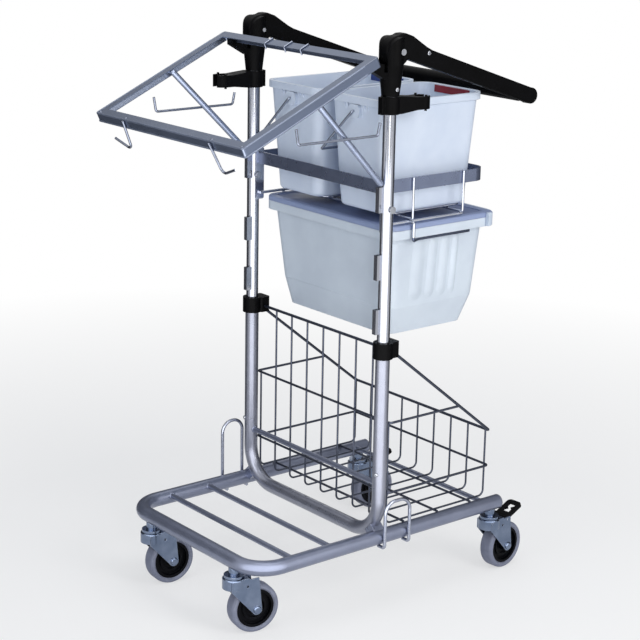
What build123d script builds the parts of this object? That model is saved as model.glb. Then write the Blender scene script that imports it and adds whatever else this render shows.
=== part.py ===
from build123d import *
import math
import os

os.makedirs("parts", exist_ok=True)

# Cleaning trolley. Z is up, +Y runs from the bag side to the push handle, X is across.
# The posts stand at Y = 0 while the pieces are made; the finished trolley is centred at the end.

# Clearances
weld_gap = 0.1
seat_gap = 0.3
running_gap = 0.05

# Base tube, slats and rear rod
rail_diameter = 30.0
rail_wall = 1.5
rail_x = 214.0
rail_z = 150.0
rail_front = -302.0
rail_rear = 327.0
rail_bend = 60.0
slat_diameter = 11.0
slat_rise = 4.5
front_slat_y = -211.0
back_slat_y = -116.0
rear_rod_diameter = 10.0
rear_rod_y = 290.0
rear_rod_rise = 5.5
plug_length = 4.0
plug_depth = 12.0
plug_rim = 1.0

# Upright hoop and posts
post_x = 211.0
leg_diameter = 28.0
post_diameter = 25.0
post_wall = 1.5
hoop_bottom = 149.0
hoop_bend = 75.0
leg_top = 536.0
post_insert = 100.0
post_top = 1058.0
hoop_bar_diameter = 11.0
hoop_bar_z = 260.0
foot_width = 26.0
foot_size = 24.0

# Pockets on the post fronts
pocket_height = 49.0
pocket_width = 10.0
pocket_depth = 9.0
pocket_wall = 1.6
pocket_offset = 4.0
top_pocket_z = 832.0
middle_pocket_z = 701.0
low_pocket_z = 594.0

# Wire basket
ring_wire = 6.0
mesh_wire = 4.0
cross_wire = 5.0
basket_x = 215.0
basket_front = 19.5
basket_rear = 294.0
basket_top_front = 532.0
basket_top_rear = 314.0
middle_ring_z = 384.0
lower_ring_z = 238.0
mesh_count = 9
mesh_pitch = 51.9
bottom_cross_count = 3
ring_corner = 7.0
mesh_corner = 12.0
wire_bite = 0.75
wire_stub = 1.0

# Basket clamps
clamp_height = 32.0
clamp_radius = 19.5
clamp_block_x = 34.0
clamp_block_y = 24.0
clamp_overhang = 9.0
clamp_back = 8.0
clamp_corner = 5.0

# Tool loops on the rails
loop_wire = 7.0
loop_bend = 25.0
loop_flat = 1.0
near_loop_start = 0.0
near_loop_end = 64.0
near_loop_top = 230.0
far_loop_start = -60.0
far_loop_end = -8.0
far_loop_top = 281.0

# Castors
wheel_diameter = 100.0
tyre_width = 32.0
tyre_bore = 78.0
castor_trail = 40.0
castor_front_x = 142.0
castor_front_y = rail_front
castor_rear_y = 307.0
fork_gap = 37.0
fork_plate = 2.5
crown_radius = 23.0
crown_top = 118.5
crown_height = 22.0
axle_diameter = 10.0
kingpin_diameter = 10.0
kingpin_head = 17.0
front_near_heading = 79.0
front_far_heading = 85.0
rear_near_heading = 95.0
rear_far_heading = 86.0
race_height = 5.5
mount_boss = 11.0
mount_bite = 6.0
crown_sheet = 2.5
crown_round = 3.0
kingpin_depth = 8.0
kingpin_end = 10.0
cheek_front = -14.0
cheek_back = 44.0
cheek_drop = 2.0
cheek_hole = 2.5
cheek_hole_s = 20.0
cheek_hole_z = 102.0
axle_boss = 10.5
boss_turn = math.radians(11.5)
cheek_lean = 0.5
dome_radius = 8.0
dome_height = 4.0
dome_round = 3.0
axle_stub = 1.0
hub_boss_wall = 7.0
hub_web = 5.0
hub_rim = 5.0
hub_set_back = 3.0
hub_ridge_height = 9.0
hub_ridge_share = 0.4
hub_ridge_width = 4.0
tread_round = 7.0

# Brake pedal
pedal_pin = 5.0
pedal_pin_s = 36.0
pedal_pin_z = 110.0
pedal_width = 36.0
pedal_length = 54.0
pedal_thickness = 6.0
pedal_slope = 23.0
pedal_barrel = 5.5
pedal_corner = 9.0
window_start = 18.0
window_end = 45.0
window_half = 9.0
window_bar = 8.0
window_waist = 3.5
pad_start = 8.0
pad_end = 15.0
pad_depth = 11.0
pad_inset = 4.0

# Bucket rack
bar_thickness = 3.0
bar_height = 25.0
band_bottom = 839.0
band_outer_x = 198.2
band_rear = 270.0
band_corner = 28.0
plate_front = -4.0
plate_rear = 16.0
plate_fall = 76.0
plate_rise = 31.0
hanger_bolt_fall = 25.0
hanger_bolt_diameter = 8.0
rack_wire = 5.0
front_wire_y = 75.0
rear_wire_y = 206.0
cross_run_drop = 56.5
tray_half_width = 59.0
tray_front = 54.0
tray_rear = 240.0
side_rod = 6.0
side_rod_front = 4.0
side_rod_rear = 212.0
box_rail_x = 196.0
box_rail_drop = 41.8
box_rail_rear = 230.0
rail_drop_x = 205.0
rail_run_in = 20.0
rail_corner = 5.0
plate_corner = 4.0
bolt_rim = 3.0
bolt_head_height = 5.0
bolt_end = 1.0
tray_corner = 15.0

# Buckets and bails
bucket_x = 98.6
bucket_y = 139.0
bucket_bottom_width = 140.0
bucket_bottom_depth = 225.0
bucket_top_width = 169.0
bucket_top_depth = 252.0
rim_width = 178.0
rim_overhang = 6.0
rim_height = 14.0
rim_top = 1012.0
bucket_wall = 2.5
bucket_corner = 25.0
bucket_foot = 8.0
skirt_wall = 2.0
rim_round = 4.0
bail_wire = 5.0
bail_pivot_z = 984.0
bail_stand = 10.0
bail_bend = 3.0
bail_reach_x = -91.0
bail_reach_z = -86.0
ear_width = 30.0
ear_height = 26.0
ear_depth = 16.0
ear_corner = 8.0
ear_play = 1.0
ear_hole = 8.0
strip_width = 100.0
strip_height = 14.0
strip_thickness = 2.0
strip_drop = 2.0

# Storage box and lid
box_depth = 217.0
crease_rise = 55.0
flange_height = 18.0
flange_x = 199.0
flange_front = 17.0
flange_rear = 297.0
box_wall = 2.5
box_corner = 24.0
foot_half_x = 160.0
foot_front = 55.0
foot_rear = 258.0
crease_half_x = 174.0
crease_front = 46.0
crease_rear = 275.0
mouth_half_x = 188.0
mouth_front = 30.0
mouth_rear = 285.0
flange_corner = 30.0
flange_wall = 2.5
lid_thickness = 9.5
lid_recess = 1.5
lid_border = 16.0
lid_wall = 3.0
lid_round = 4.0
lid_panel_corner = 20.0
lip_wall = 8.0
lip_drop = 17.0
lip_wrap = 24.0

# Bag holder
bag_rear_y = -55.0
bag_rear_z = 1106.0
bag_half_width = 239.0
bag_slant = 335.2
bag_tilt = 24.6
angle_leg = 19.0
angle_thickness = 2.0
hem_radius = 2.0
strut_diameter = 12.0
strut_inset = 15.0
strut_top_y = -190.0
strut_foot_z = 864.5
hook_wire = 5.0
clip_wire = 3.0
bag_corner = 5.0
bag_inner_corner = 3.0
strut_lug = 4.0
side_hook_low = 959.0
side_hook_front = -228.0
side_hook_rear = -42.0
side_hook_tip = 29.0
side_hook_rear_tip = 24.0
side_hook_splay = 5.0
side_hook_bend = 6.0
front_hook_inset = 99.0
front_hook_fall = 66.0
front_hook_drift = 8.5
front_hook_reach = 56.0
front_hook_tip_fall = 48.0
front_hook_bend = 10.0
staple_fall = 10.0
staple_spots = (-79.0, -17.0, 33.0)

# Handle joints, arms and grip
pivot_y = 8.0
pivot_z = 1110.0
sleeve_bottom = 1028.0
sleeve_flare_z = 1085.0
sleeve_bottom_radius = 17.0
sleeve_top_radius = 23.5
cheek_radius = 27.0
arm_width = 24.0
knuckle_radius = 29.0
hood_sweep = 37.0
slot_play = 0.3
pivot_pin = 8.0
hook_width = 18.0
arm_slope = 18.5
grip_y = 350.0
grip_radius = 16.5
grip_wall = 4.0
hook_depth = 32.0
hook_toe_depth = 28.0
hook_toe_y = -22.0
hook_nose = 13.0
hook_lip = 6.0
hook_seat = 3.5
pin_rim = 2.0
pin_head_height = 2.5
arm_crest_y = 26.0
arm_crest_rise = 32.5
arm_brow_y = 16.0
arm_fall_y = 45.0
arm_fall_rise = 26.0
arm_neck_y = 80.0
arm_neck_rise = 4.0
arm_run_y = 94.0
arm_run_rise = -3.0
arm_end_y = 363.0
arm_depth = 32.0
arm_under_y = 150.0
arm_under_rise = -55.0
arm_throat_y = 32.0
arm_throat_rise = -16.0
arm_edge = 4.0

# Tool clips
clip_z = 1010.5
clip_height = 33.0
clip_head_height = 24.0
clip_radius = 18.0
clip_reach = 76.0
clip_grip_radius = 12.0
clip_jaw_radius = 18.0
clip_mouth = 16.0
clip_neck = 13.0
clip_ear = 12.0
clip_shoulder = 20.0
clip_stud = 2.5
clip_stud_rise = 3.0
near_clip_heading = 90.0
far_clip_heading = -95.0

nodes = {}


def section_on(path, shape):
    return Plane(origin=path @ 0, z_dir=path % 0) * shape


def bent_rod(points, diameter, bend, closed=False):
    path = FilletPolyline(*points, radius=bend, close=closed)
    return sweep(section_on(path, Circle(diameter / 2)), path=path)


def bent_tube(points, diameter, wall, bend):
    path = FilletPolyline(*points, radius=bend)
    ring = Circle(diameter / 2) - Circle(diameter / 2 - wall)
    return sweep(section_on(path, ring), path=path)


def straight_rod(start, end, diameter):
    path = Line(start, end)
    return sweep(section_on(path, Circle(diameter / 2)), path=path)


def both_sides(shape):
    return [shape, mirror(shape, about=Plane.YZ)]


def group(shapes):
    solids = []
    for shape in shapes:
        solids.extend(shape.solids())
    return Compound(children=solids)


def outline_of(points):
    area = 0.0
    for (x_a, y_a), (x_b, y_b) in zip(points, points[1:] + points[:1]):
        area = area + x_a * y_b - x_b * y_a
    ordered = points if area > 0 else points[::-1]
    return Polygon(*ordered, align=None)


def block(x_low, x_high, y_low, y_high, z_low, z_high):
    size = Box(x_high - x_low, y_high - y_low, z_high - z_low)
    return Pos((x_low + x_high) / 2, (y_low + y_high) / 2, (z_low + z_high) / 2) * size


def upright(x, y, z_low, z_high, radius):
    return Pos(x, y, (z_low + z_high) / 2) * Cylinder(radius, z_high - z_low)


def crosswise(x_low, x_high, y, z, radius):
    bar = Rot(0, 90, 0) * Cylinder(radius, x_high - x_low)
    return Pos((x_low + x_high) / 2, y, z) * bar


# Base tube: bent once at each front corner, open at the rear
rail_radius = rail_diameter / 2
base_points = [
    (-rail_x, rail_rear, rail_z),
    (-rail_x, rail_front, rail_z),
    (rail_x, rail_front, rail_z),
    (rail_x, rail_rear, rail_z),
]
nodes["base_frame"] = bent_tube(base_points, rail_diameter, rail_wall, rail_bend)

# Round bars between the rails, their ends coped to the tube
rail_keepout = []
for side in (-1, 1):
    keep = Rot(90, 0, 0) * Cylinder(rail_radius + weld_gap, 4 * rail_rear)
    rail_keepout.append(Pos(side * rail_x, 0, rail_z) * keep)


def rail_bar(y, rise, diameter):
    bar = crosswise(-rail_x, rail_x, y, rail_z + rise, diameter / 2)
    return bar - rail_keepout


front_slat = rail_bar(front_slat_y, slat_rise, slat_diameter)
back_slat = rail_bar(back_slat_y, slat_rise, slat_diameter)
nodes["platform_slats"] = group([front_slat, back_slat])
nodes["rear_cross_rod"] = rail_bar(rear_rod_y, rear_rod_rise, rear_rod_diameter)

# Moulded plugs in the rail ends
spigot_radius = rail_radius - rail_wall - seat_gap
plug_spigot = Cylinder(spigot_radius, plug_depth, align=(Align.CENTER, Align.CENTER, Align.MAX))
plug_cap = Cylinder(rail_radius, plug_length, align=(Align.CENTER, Align.CENTER, Align.MIN))
plug_cap = fillet(plug_cap.edges().group_by(Axis.Z)[-1], plug_length - plug_rim)
rail_plug = Pos(rail_x, rail_rear + weld_gap / 2, rail_z) * Rot(-90, 0, 0) * (plug_spigot + plug_cap)
nodes["rail_end_plugs"] = group(both_sides(rail_plug))

# Upright hoop: bottom run between the rails, legs that take the posts
leg_radius = leg_diameter / 2
post_radius = post_diameter / 2
leg_wall = leg_radius - post_radius - weld_gap
hoop_points = [
    (-post_x, 0, leg_top),
    (-post_x, 0, hoop_bottom),
    (post_x, 0, hoop_bottom),
    (post_x, 0, leg_top),
]
nodes["upright_hoop"] = bent_tube(hoop_points, leg_diameter, leg_wall, hoop_bend)

leg_keepout = [upright(side * post_x, 0, hoop_bottom, leg_top, leg_radius + weld_gap) for side in (-1, 1)]
hoop_bar = crosswise(-post_x, post_x, 0, hoop_bar_z, hoop_bar_diameter / 2)
nodes["hoop_cross_bar"] = hoop_bar - leg_keepout

# Feet: saddles between the hoop's bends and the rails
solid_hoop = bent_rod(hoop_points, leg_diameter + 2 * weld_gap, hoop_bend)
bend_centre_x = post_x - hoop_bend
bend_centre_z = hoop_bottom + hoop_bend
foot_angle = math.atan2(rail_z - bend_centre_z, rail_x - bend_centre_x)
foot_reach = hoop_bend + leg_radius
foot_x = bend_centre_x + foot_reach * math.cos(foot_angle)
foot_z = bend_centre_z + foot_reach * math.sin(foot_angle)
foot_block = Rot(0, -math.degrees(foot_angle), 0) * Box(foot_size, foot_width, foot_size)
foot = Pos(foot_x, 0, foot_z) * foot_block - rail_keepout[1] - solid_hoop
foot = foot.solids().sort_by(SortBy.VOLUME)[-1]
nodes["upright_feet"] = group(both_sides(foot))

# Bright posts
post_bottom = leg_top - post_insert
post = upright(post_x, 0, post_bottom, post_top, post_radius)
post = post - upright(post_x, 0, post_bottom, post_top, post_radius - post_wall)
nodes["post_right"] = post
nodes["post_left"] = mirror(post, about=Plane.YZ)

# Open-top pockets on the post fronts
pocket_centre_x = post_x - pocket_offset
pocket_back = -math.sqrt((post_radius + weld_gap) ** 2 - (pocket_width / 2 + pocket_offset) ** 2)
pockets = []
post_keepout = upright(post_x, 0, post_bottom, post_top, post_radius + weld_gap)
for centre_z in (top_pocket_z, middle_pocket_z, low_pocket_z):
    low_z = centre_z - pocket_height / 2
    high_z = centre_z + pocket_height / 2
    left_x = pocket_centre_x - pocket_width / 2
    right_x = pocket_centre_x + pocket_width / 2
    front_y = -post_radius - pocket_depth
    pocket = block(left_x, right_x, front_y, pocket_back, low_z, high_z)
    hollow = block(
        left_x + pocket_wall,
        right_x - pocket_wall,
        front_y + pocket_wall,
        -post_radius - pocket_wall,
        low_z + pocket_wall,
        high_z + pocket_wall,
    )
    pockets.extend(both_sides(pocket - hollow - post_keepout))
nodes["post_pockets"] = group(pockets)

# Wire basket: a sloping top ring, a middle wire, a lower ring, U-wires and bottom cross wires
ring_to_mesh = wire_bite * (ring_wire + mesh_wire) / 2
cross_to_mesh = wire_bite * (cross_wire + mesh_wire) / 2
basket_floor = rail_z + rail_radius + seat_gap + cross_wire / 2
mesh_floor = basket_floor + cross_to_mesh
top_ring_points = [
    (-basket_x, basket_front, basket_top_front),
    (basket_x, basket_front, basket_top_front),
    (basket_x, basket_rear, basket_top_rear),
    (-basket_x, basket_rear, basket_top_rear),
]
lower_ring_points = [
    (-basket_x, basket_front, lower_ring_z),
    (basket_x, basket_front, lower_ring_z),
    (basket_x, basket_rear, lower_ring_z),
    (-basket_x, basket_rear, lower_ring_z),
]
top_ring = bent_rod(top_ring_points, ring_wire, ring_corner, closed=True)
lower_ring = bent_rod(lower_ring_points, cross_wire, ring_corner, closed=True)
slope_run = (basket_rear - basket_front) / (basket_top_front - basket_top_rear)
middle_end = basket_front + (basket_top_front - middle_ring_z) * slope_run
middle_points = [
    (-basket_x, middle_end, middle_ring_z),
    (-basket_x, basket_front, middle_ring_z),
    (basket_x, basket_front, middle_ring_z),
    (basket_x, middle_end, middle_ring_z),
]
middle_wire = bent_rod(middle_points, cross_wire, ring_corner)
mesh_front = basket_front + ring_to_mesh
mesh_rear = basket_rear - ring_to_mesh
wires = [lower_ring, middle_wire]
for index in range(mesh_count):
    x = (index - (mesh_count - 1) / 2) * mesh_pitch
    at_corner = index in (0, mesh_count - 1)
    front_top = middle_ring_z if at_corner else basket_top_front
    u_points = [
        (x, mesh_front, front_top + wire_stub),
        (x, mesh_front, mesh_floor),
        (x, mesh_rear, mesh_floor),
        (x, mesh_rear, basket_top_rear + wire_stub),
    ]
    wires.append(bent_rod(u_points, mesh_wire, mesh_corner))
for index in range(bottom_cross_count):
    y = basket_front + (index + 0.5) * (basket_rear - basket_front) / bottom_cross_count
    wires.append(crosswise(-basket_x + wire_stub, basket_x - wire_stub, y, basket_floor, cross_wire / 2))
nodes["wire_basket"] = top_ring.fuse(*wires)

# Basket clamps: collars over the step from leg to post, holding the basket's top corners
clamp_low = leg_top - clamp_height / 2
clamp_high = leg_top + clamp_height / 2
clamp_outer = basket_x + clamp_overhang
clamp_inner = clamp_outer - clamp_block_x
clamp_rear = clamp_back + clamp_block_y
clamp_block = block(clamp_inner, clamp_outer, clamp_back, clamp_rear, clamp_low, clamp_high)
clamp_block = fillet(clamp_block.edges().filter_by(Axis.Z), clamp_corner)
clamp = upright(post_x, 0, clamp_low, clamp_high, clamp_radius) + clamp_block
clamp = clamp - upright(post_x, 0, clamp_low, leg_top, leg_radius + weld_gap)
clamp = clamp - upright(post_x, 0, leg_top, clamp_high, post_radius + weld_gap)
clamp = clamp - bent_rod(top_ring_points, ring_wire + 2 * weld_gap, ring_corner, closed=True)
clamp = clamp.solids().sort_by(SortBy.VOLUME)[-1]
nodes["basket_clamps"] = group(both_sides(clamp))


# Arched tool loops that hook under the rails
def tool_loop(side, start_y, end_y, top_z):
    out_x = side * (rail_x + rail_radius + loop_wire / 2 + weld_gap)
    low_z = rail_z - rail_radius - loop_wire / 2 - weld_gap
    high_z = top_z - loop_wire / 2
    span = end_y - start_y
    shoulder = min(loop_bend, span / 2 - loop_flat)
    path = FilletPolyline(
        (side * rail_x, start_y, low_z),
        (out_x, start_y, low_z),
        (out_x, start_y, high_z),
        (out_x, end_y, high_z),
        (out_x, end_y, low_z),
        (side * rail_x, end_y, low_z),
        radius=[loop_wire, shoulder, shoulder, loop_wire],
    )
    return sweep(section_on(path, Circle(loop_wire / 2)), path=path)


nodes["tool_loop_right"] = tool_loop(1, near_loop_start, near_loop_end, near_loop_top)
nodes["tool_loop_left"] = tool_loop(-1, far_loop_start, far_loop_end, far_loop_top)

# Castor pieces, made with the swivel axis at the origin and the trail along +X
wheel_radius = wheel_diameter / 2
axle_radius = axle_diameter / 2
kingpin_radius = kingpin_diameter / 2
fork_inner = fork_gap / 2
fork_outer = fork_inner + fork_plate
crown_bottom = crown_top - crown_height
race_top = crown_top + race_height
tube_under = rail_z - rail_radius


def along_axle(radius, half_width, s, z):
    return Pos(s, 0, z) * Rot(90, 0, 0) * Cylinder(radius, 2 * half_width)


def castor_mount(tube_along_y):
    boss = upright(0, 0, race_top, tube_under + mount_bite, mount_boss)
    turn = Rot(90, 0, 0) if tube_along_y else Rot(0, 90, 0)
    saddle = Pos(0, 0, rail_z) * turn * Cylinder(rail_radius + weld_gap, 4 * mount_boss)
    race = upright(0, 0, crown_top + seat_gap, race_top, crown_radius - crown_round + weld_gap)
    pin = upright(0, 0, crown_top - kingpin_depth, crown_top + seat_gap, kingpin_radius)
    head_top = crown_top - crown_sheet - seat_gap
    head = upright(0, 0, crown_top - kingpin_end, head_top, kingpin_head / 2)
    return boss - saddle + race + pin + head


def castor_fork(braked):
    crown = upright(0, 0, crown_bottom, crown_top, crown_radius)
    crown = fillet(crown.edges().group_by(Axis.Z)[-1], crown_round)
    roof = block(0, crown_radius, -fork_outer, fork_outer, crown_bottom, crown_top)
    crown = crown + roof
    crown = crown - upright(0, 0, crown_bottom, crown_top - crown_sheet, fork_inner)
    crown = crown - block(0, crown_radius, -fork_inner, fork_inner, crown_bottom, crown_top - crown_sheet)
    points = [
        (cheek_front, crown_top - 2 * cheek_drop),
        (cheek_back, crown_top - cheek_drop),
        (castor_trail + axle_boss * math.cos(boss_turn), wheel_radius + axle_boss * math.sin(boss_turn)),
        (castor_trail - axle_boss * math.cos(cheek_lean), wheel_radius - axle_boss * math.sin(cheek_lean)),
        (cheek_front, crown_bottom - cheek_drop),
    ]
    outline = outline_of(points)
    outline = outline + Pos(castor_trail, wheel_radius) * Circle(axle_boss)
    plate = extrude(Plane.XZ * outline, fork_plate)
    fork = crown
    fork = fork + Pos(0, -fork_inner, 0) * plate
    fork = fork + Pos(0, fork_outer, 0) * plate
    fork = fork - along_axle(axle_radius + running_gap, fork_outer + axle_stub, castor_trail, wheel_radius)
    fork = fork - upright(0, 0, crown_bottom, crown_top, kingpin_radius + running_gap)
    fork = fork - along_axle(cheek_hole, fork_outer + axle_stub, cheek_hole_s, cheek_hole_z)
    shank = along_axle(axle_radius, fork_outer + axle_stub, castor_trail, wheel_radius)
    dome = Cylinder(dome_radius, dome_height, align=(Align.CENTER, Align.CENTER, Align.MIN))
    dome = fillet(dome.edges().group_by(Axis.Z)[-1], dome_round)
    near_dome = Pos(castor_trail, -fork_outer - weld_gap, wheel_radius) * Rot(90, 0, 0) * dome
    far_dome = Pos(castor_trail, fork_outer + weld_gap, wheel_radius) * Rot(-90, 0, 0) * dome
    axle = shank + near_dome + far_dome
    pieces = [fork, axle]
    if braked:
        pin_hole = along_axle(pedal_pin / 2 + running_gap, fork_outer + axle_stub, pedal_pin_s, pedal_pin_z)
        pin = along_axle(pedal_pin / 2, fork_outer + axle_stub, pedal_pin_s, pedal_pin_z)
        pieces = [fork - pin_hole, axle, pin]
    return group(pieces)


def wheel_ring(points):
    profile = Plane.XZ * outline_of(points)
    turned = revolve(profile, Axis.Z)
    return Pos(castor_trail, 0, wheel_radius) * Rot(90, 0, 0) * turned


def wheel_hub():
    half = tyre_width / 2 - hub_set_back
    boss_half = fork_inner - seat_gap
    bore = axle_radius + running_gap
    boss = axle_radius + hub_boss_wall
    outer = tyre_bore / 2
    rim_in = outer - hub_rim
    ridge_in = boss + hub_ridge_share * (rim_in - boss)
    ridge_out = ridge_in + hub_ridge_width
    right_side = [
        (bore, boss_half),
        (boss, boss_half),
        (boss, hub_web),
        (ridge_in, hub_web),
        (ridge_in, hub_ridge_height),
        (ridge_out, hub_ridge_height),
        (ridge_out, hub_web),
        (rim_in, hub_web),
        (rim_in, half),
        (outer, half),
    ]
    left_side = [(radius, -across) for radius, across in right_side[::-1]]
    return wheel_ring(right_side + left_side)


def wheel_tyre():
    half = tyre_width / 2
    inner = tyre_bore / 2 + weld_gap / 2
    points = [
        (inner, -half + hub_set_back),
        (inner + hub_set_back, -half),
        (wheel_radius, -half),
        (wheel_radius, half),
        (inner + hub_set_back, half),
        (inner, half - hub_set_back),
    ]
    section = outline_of(points)
    tread = section.vertices().group_by(Axis.X)[-1]
    section = fillet(tread, tread_round)
    turned = revolve(Plane.XZ * section, Axis.Z)
    return Pos(castor_trail, 0, wheel_radius) * Rot(90, 0, 0) * turned


def brake_pedal():
    half = pedal_width / 2
    barrel = along_axle(pedal_barrel, half, 0, 0)
    tread = block(0, pedal_length, -half, half, -pedal_thickness / 2, pedal_thickness / 2)
    corners = tread.edges().filter_by(Axis.Z).group_by(Axis.X)[-1]
    tread = fillet(corners, pedal_corner)
    middle = (window_start + window_end) / 2
    upper_edge = [
        (window_start, window_half),
        (window_start + window_bar, window_half),
        (middle, window_waist),
        (window_end - window_bar, window_half),
        (window_end, window_half),
    ]
    lower_edge = [(s, -across) for s, across in upper_edge[::-1]]
    window = Pos(0, 0, -pedal_thickness) * extrude(outline_of(upper_edge + lower_edge), 2 * pedal_thickness)
    pad = block(pad_start, pad_end, -half + pad_inset, half - pad_inset, -pad_depth, 0)
    pedal = barrel + tread - window + pad
    pedal = pedal - along_axle(pedal_pin / 2 + running_gap, half + axle_stub, 0, 0)
    return Pos(pedal_pin_s, 0, pedal_pin_z) * Rot(0, -pedal_slope, 0) * pedal


castor_mounts = []


def add_castor(name, x, y, heading, braked):
    place = Pos(x, y, 0) * Rot(0, 0, heading)
    castor_mounts.append(Pos(x, y, 0) * castor_mount(braked))
    nodes["fork_" + name] = group([place * castor_fork(braked)])
    nodes["hub_" + name] = place * wheel_hub()
    nodes["tyre_" + name] = place * wheel_tyre()
    if braked:
        nodes["pedal_" + name] = place * brake_pedal()


add_castor("front_right", castor_front_x, castor_front_y, front_near_heading, False)
add_castor("front_left", -castor_front_x, castor_front_y, front_far_heading, False)
add_castor("rear_right", rail_x, castor_rear_y, rear_near_heading, True)
add_castor("rear_left", -rail_x, castor_rear_y, rear_far_heading, True)
nodes["castor_mounts"] = group(castor_mounts)

# Bucket rack: hanger plates on the posts, a flat-bar band round the buckets, wires under them
plate_bottom = band_bottom - plate_fall
plate_top = band_bottom + plate_rise
hanger_bolt_z = band_bottom - hanger_bolt_fall
cross_run_z = band_bottom - cross_run_drop
box_rail_z = cross_run_z - box_rail_drop
band_inner_x = band_outer_x - bar_thickness
band_length = 3 * band_rear
band_outline = RectangleRounded(2 * band_outer_x, band_length, band_corner)
band_outline = band_outline - RectangleRounded(
    2 * band_inner_x, band_length - 2 * bar_thickness, band_corner - bar_thickness
)
band = extrude(band_outline, bar_height)
band = Pos(0, band_rear - band_length / 2, band_bottom) * band
front_cut = block(-band_length, band_length, -2 * band_length, plate_rear + weld_gap, 0, plate_top)
nodes["rack_band"] = band - front_cut
plate_inner_x = band_inner_x - weld_gap
front_bar_x = plate_inner_x - weld_gap
nodes["rack_front_bar"] = block(
    -front_bar_x, front_bar_x, -bar_thickness / 2, bar_thickness / 2, band_bottom, band_bottom + bar_height
)
hanger = block(plate_inner_x, band_outer_x, plate_front, plate_rear, plate_bottom, plate_top)
hanger = fillet(hanger.edges().filter_by(Axis.X), plate_corner)
bolt_radius = hanger_bolt_diameter / 2
hanger = hanger - crosswise(0, rail_x, 0, hanger_bolt_z, bolt_radius + weld_gap)
nodes["rack_hanger_plates"] = group(both_sides(hanger))
bolt_outer = post_x + post_radius
bolt = crosswise(plate_inner_x - bolt_end, bolt_outer + bolt_end, 0, hanger_bolt_z, bolt_radius)
head_outer = bolt_outer + bolt_head_height
bolt_head = crosswise(bolt_outer + weld_gap, head_outer, 0, hanger_bolt_z, bolt_radius + bolt_rim)
nut_inner = plate_inner_x - bolt_head_height
nut_outer = plate_inner_x - weld_gap
bolt_nut = crosswise(nut_inner, nut_outer, 0, hanger_bolt_z, bolt_radius + bolt_rim)
nodes["rack_hanger_bolts"] = group(both_sides(bolt + bolt_head + bolt_nut))
bolt_hole = crosswise(post_x - leg_diameter, post_x + leg_diameter, 0, hanger_bolt_z, bolt_radius + weld_gap)
nodes["post_right"] = nodes["post_right"] - bolt_hole
nodes["post_left"] = nodes["post_left"] - mirror(bolt_hole, about=Plane.YZ)

wire_x = band_outer_x + rack_wire / 2 + weld_gap
band_top = band_bottom + bar_height
cross_wires = []
for wire_y in (front_wire_y, rear_wire_y):
    u_points = [
        (-wire_x, wire_y, band_top),
        (-wire_x, wire_y, cross_run_z),
        (wire_x, wire_y, cross_run_z),
        (wire_x, wire_y, band_top),
    ]
    cross_wires.append(bent_rod(u_points, rack_wire, rack_wire))
nodes["rack_cross_wires"] = group(cross_wires)
tray_z = cross_run_z + rack_wire + weld_gap
tray_points = [
    (bucket_x - tray_half_width, tray_front, tray_z),
    (bucket_x + tray_half_width, tray_front, tray_z),
    (bucket_x + tray_half_width, tray_rear, tray_z),
    (bucket_x - tray_half_width, tray_rear, tray_z),
]
nodes["rack_tray_loops"] = group(both_sides(bent_rod(tray_points, rack_wire, tray_corner, closed=True)))
side_rod_x = plate_inner_x - side_rod / 2 - weld_gap
side_rod_z = cross_run_z - rack_wire / 2 - side_rod / 2 - weld_gap
rod_start = (side_rod_x, side_rod_front, side_rod_z)
rod_end = (side_rod_x, side_rod_rear, side_rod_z)
nodes["rack_side_rods"] = group(both_sides(straight_rod(rod_start, rod_end, side_rod)))
rail_points = [
    (side_rod_x + side_rod / 2 + weld_gap, front_wire_y, side_rod_z),
    (rail_drop_x, front_wire_y, side_rod_z),
    (rail_drop_x, front_wire_y, box_rail_z),
    (box_rail_x, front_wire_y + rail_run_in, box_rail_z),
    (box_rail_x, box_rail_rear, box_rail_z),
]
nodes["box_rails"] = group(both_sides(bent_rod(rail_points, side_rod, rail_corner)))

# Buckets: tapered tubs with a turned-down rim and a moulded ear at each end for the bail
bucket_bottom = tray_z + rack_wire / 2 + seat_gap
rim_bottom = rim_top - rim_height
rim_depth = bucket_top_depth + 2 * rim_overhang
bail_plane = bucket_top_depth / 2 + bail_stand


def rounded_section(width, depth, corner, z):
    return Pos(0, 0, z) * RectangleRounded(width, depth, corner)


def tub(inset, z_low, z_high):
    low = rounded_section(
        bucket_bottom_width - 2 * inset, bucket_bottom_depth - 2 * inset, bucket_corner - inset, z_low
    )
    high = rounded_section(
        bucket_top_width - 2 * inset, bucket_top_depth - 2 * inset, bucket_corner - inset, z_high
    )
    shape = loft([low, high])
    return fillet(shape.edges().group_by(Axis.Z)[0], bucket_foot - inset)


def bucket():
    shell = tub(0, bucket_bottom, rim_top)
    skirt = extrude(rounded_section(rim_width, rim_depth, bucket_corner + rim_round, rim_bottom), rim_height)
    skirt_hollow = rounded_section(
        rim_width - 2 * skirt_wall,
        rim_depth - 2 * skirt_wall,
        bucket_corner + rim_round - skirt_wall,
        rim_bottom,
    )
    skirt = skirt - extrude(skirt_hollow, rim_height - skirt_wall)
    body = shell + skirt
    ear_face = bail_plane - bail_wire / 2 - ear_play
    for end in (-1, 1):
        ear = Box(ear_width, ear_depth, ear_height)
        ear = fillet(ear.edges().filter_by(Axis.Y), ear_corner)
        ear_y = end * (ear_face - ear_depth / 2)
        body = body + Pos(0, ear_y, rim_bottom - ear_height / 2 - ear_play) * ear
    body = body - tub(bucket_wall, bucket_bottom + bucket_wall, rim_top)
    for end in (-1, 1):
        hole = Rot(90, 0, 0) * Cylinder(bail_wire / 2 + running_gap, 2 * ear_hole)
        body = body - Pos(0, end * ear_face, bail_pivot_z) * hole
    return body


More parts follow.
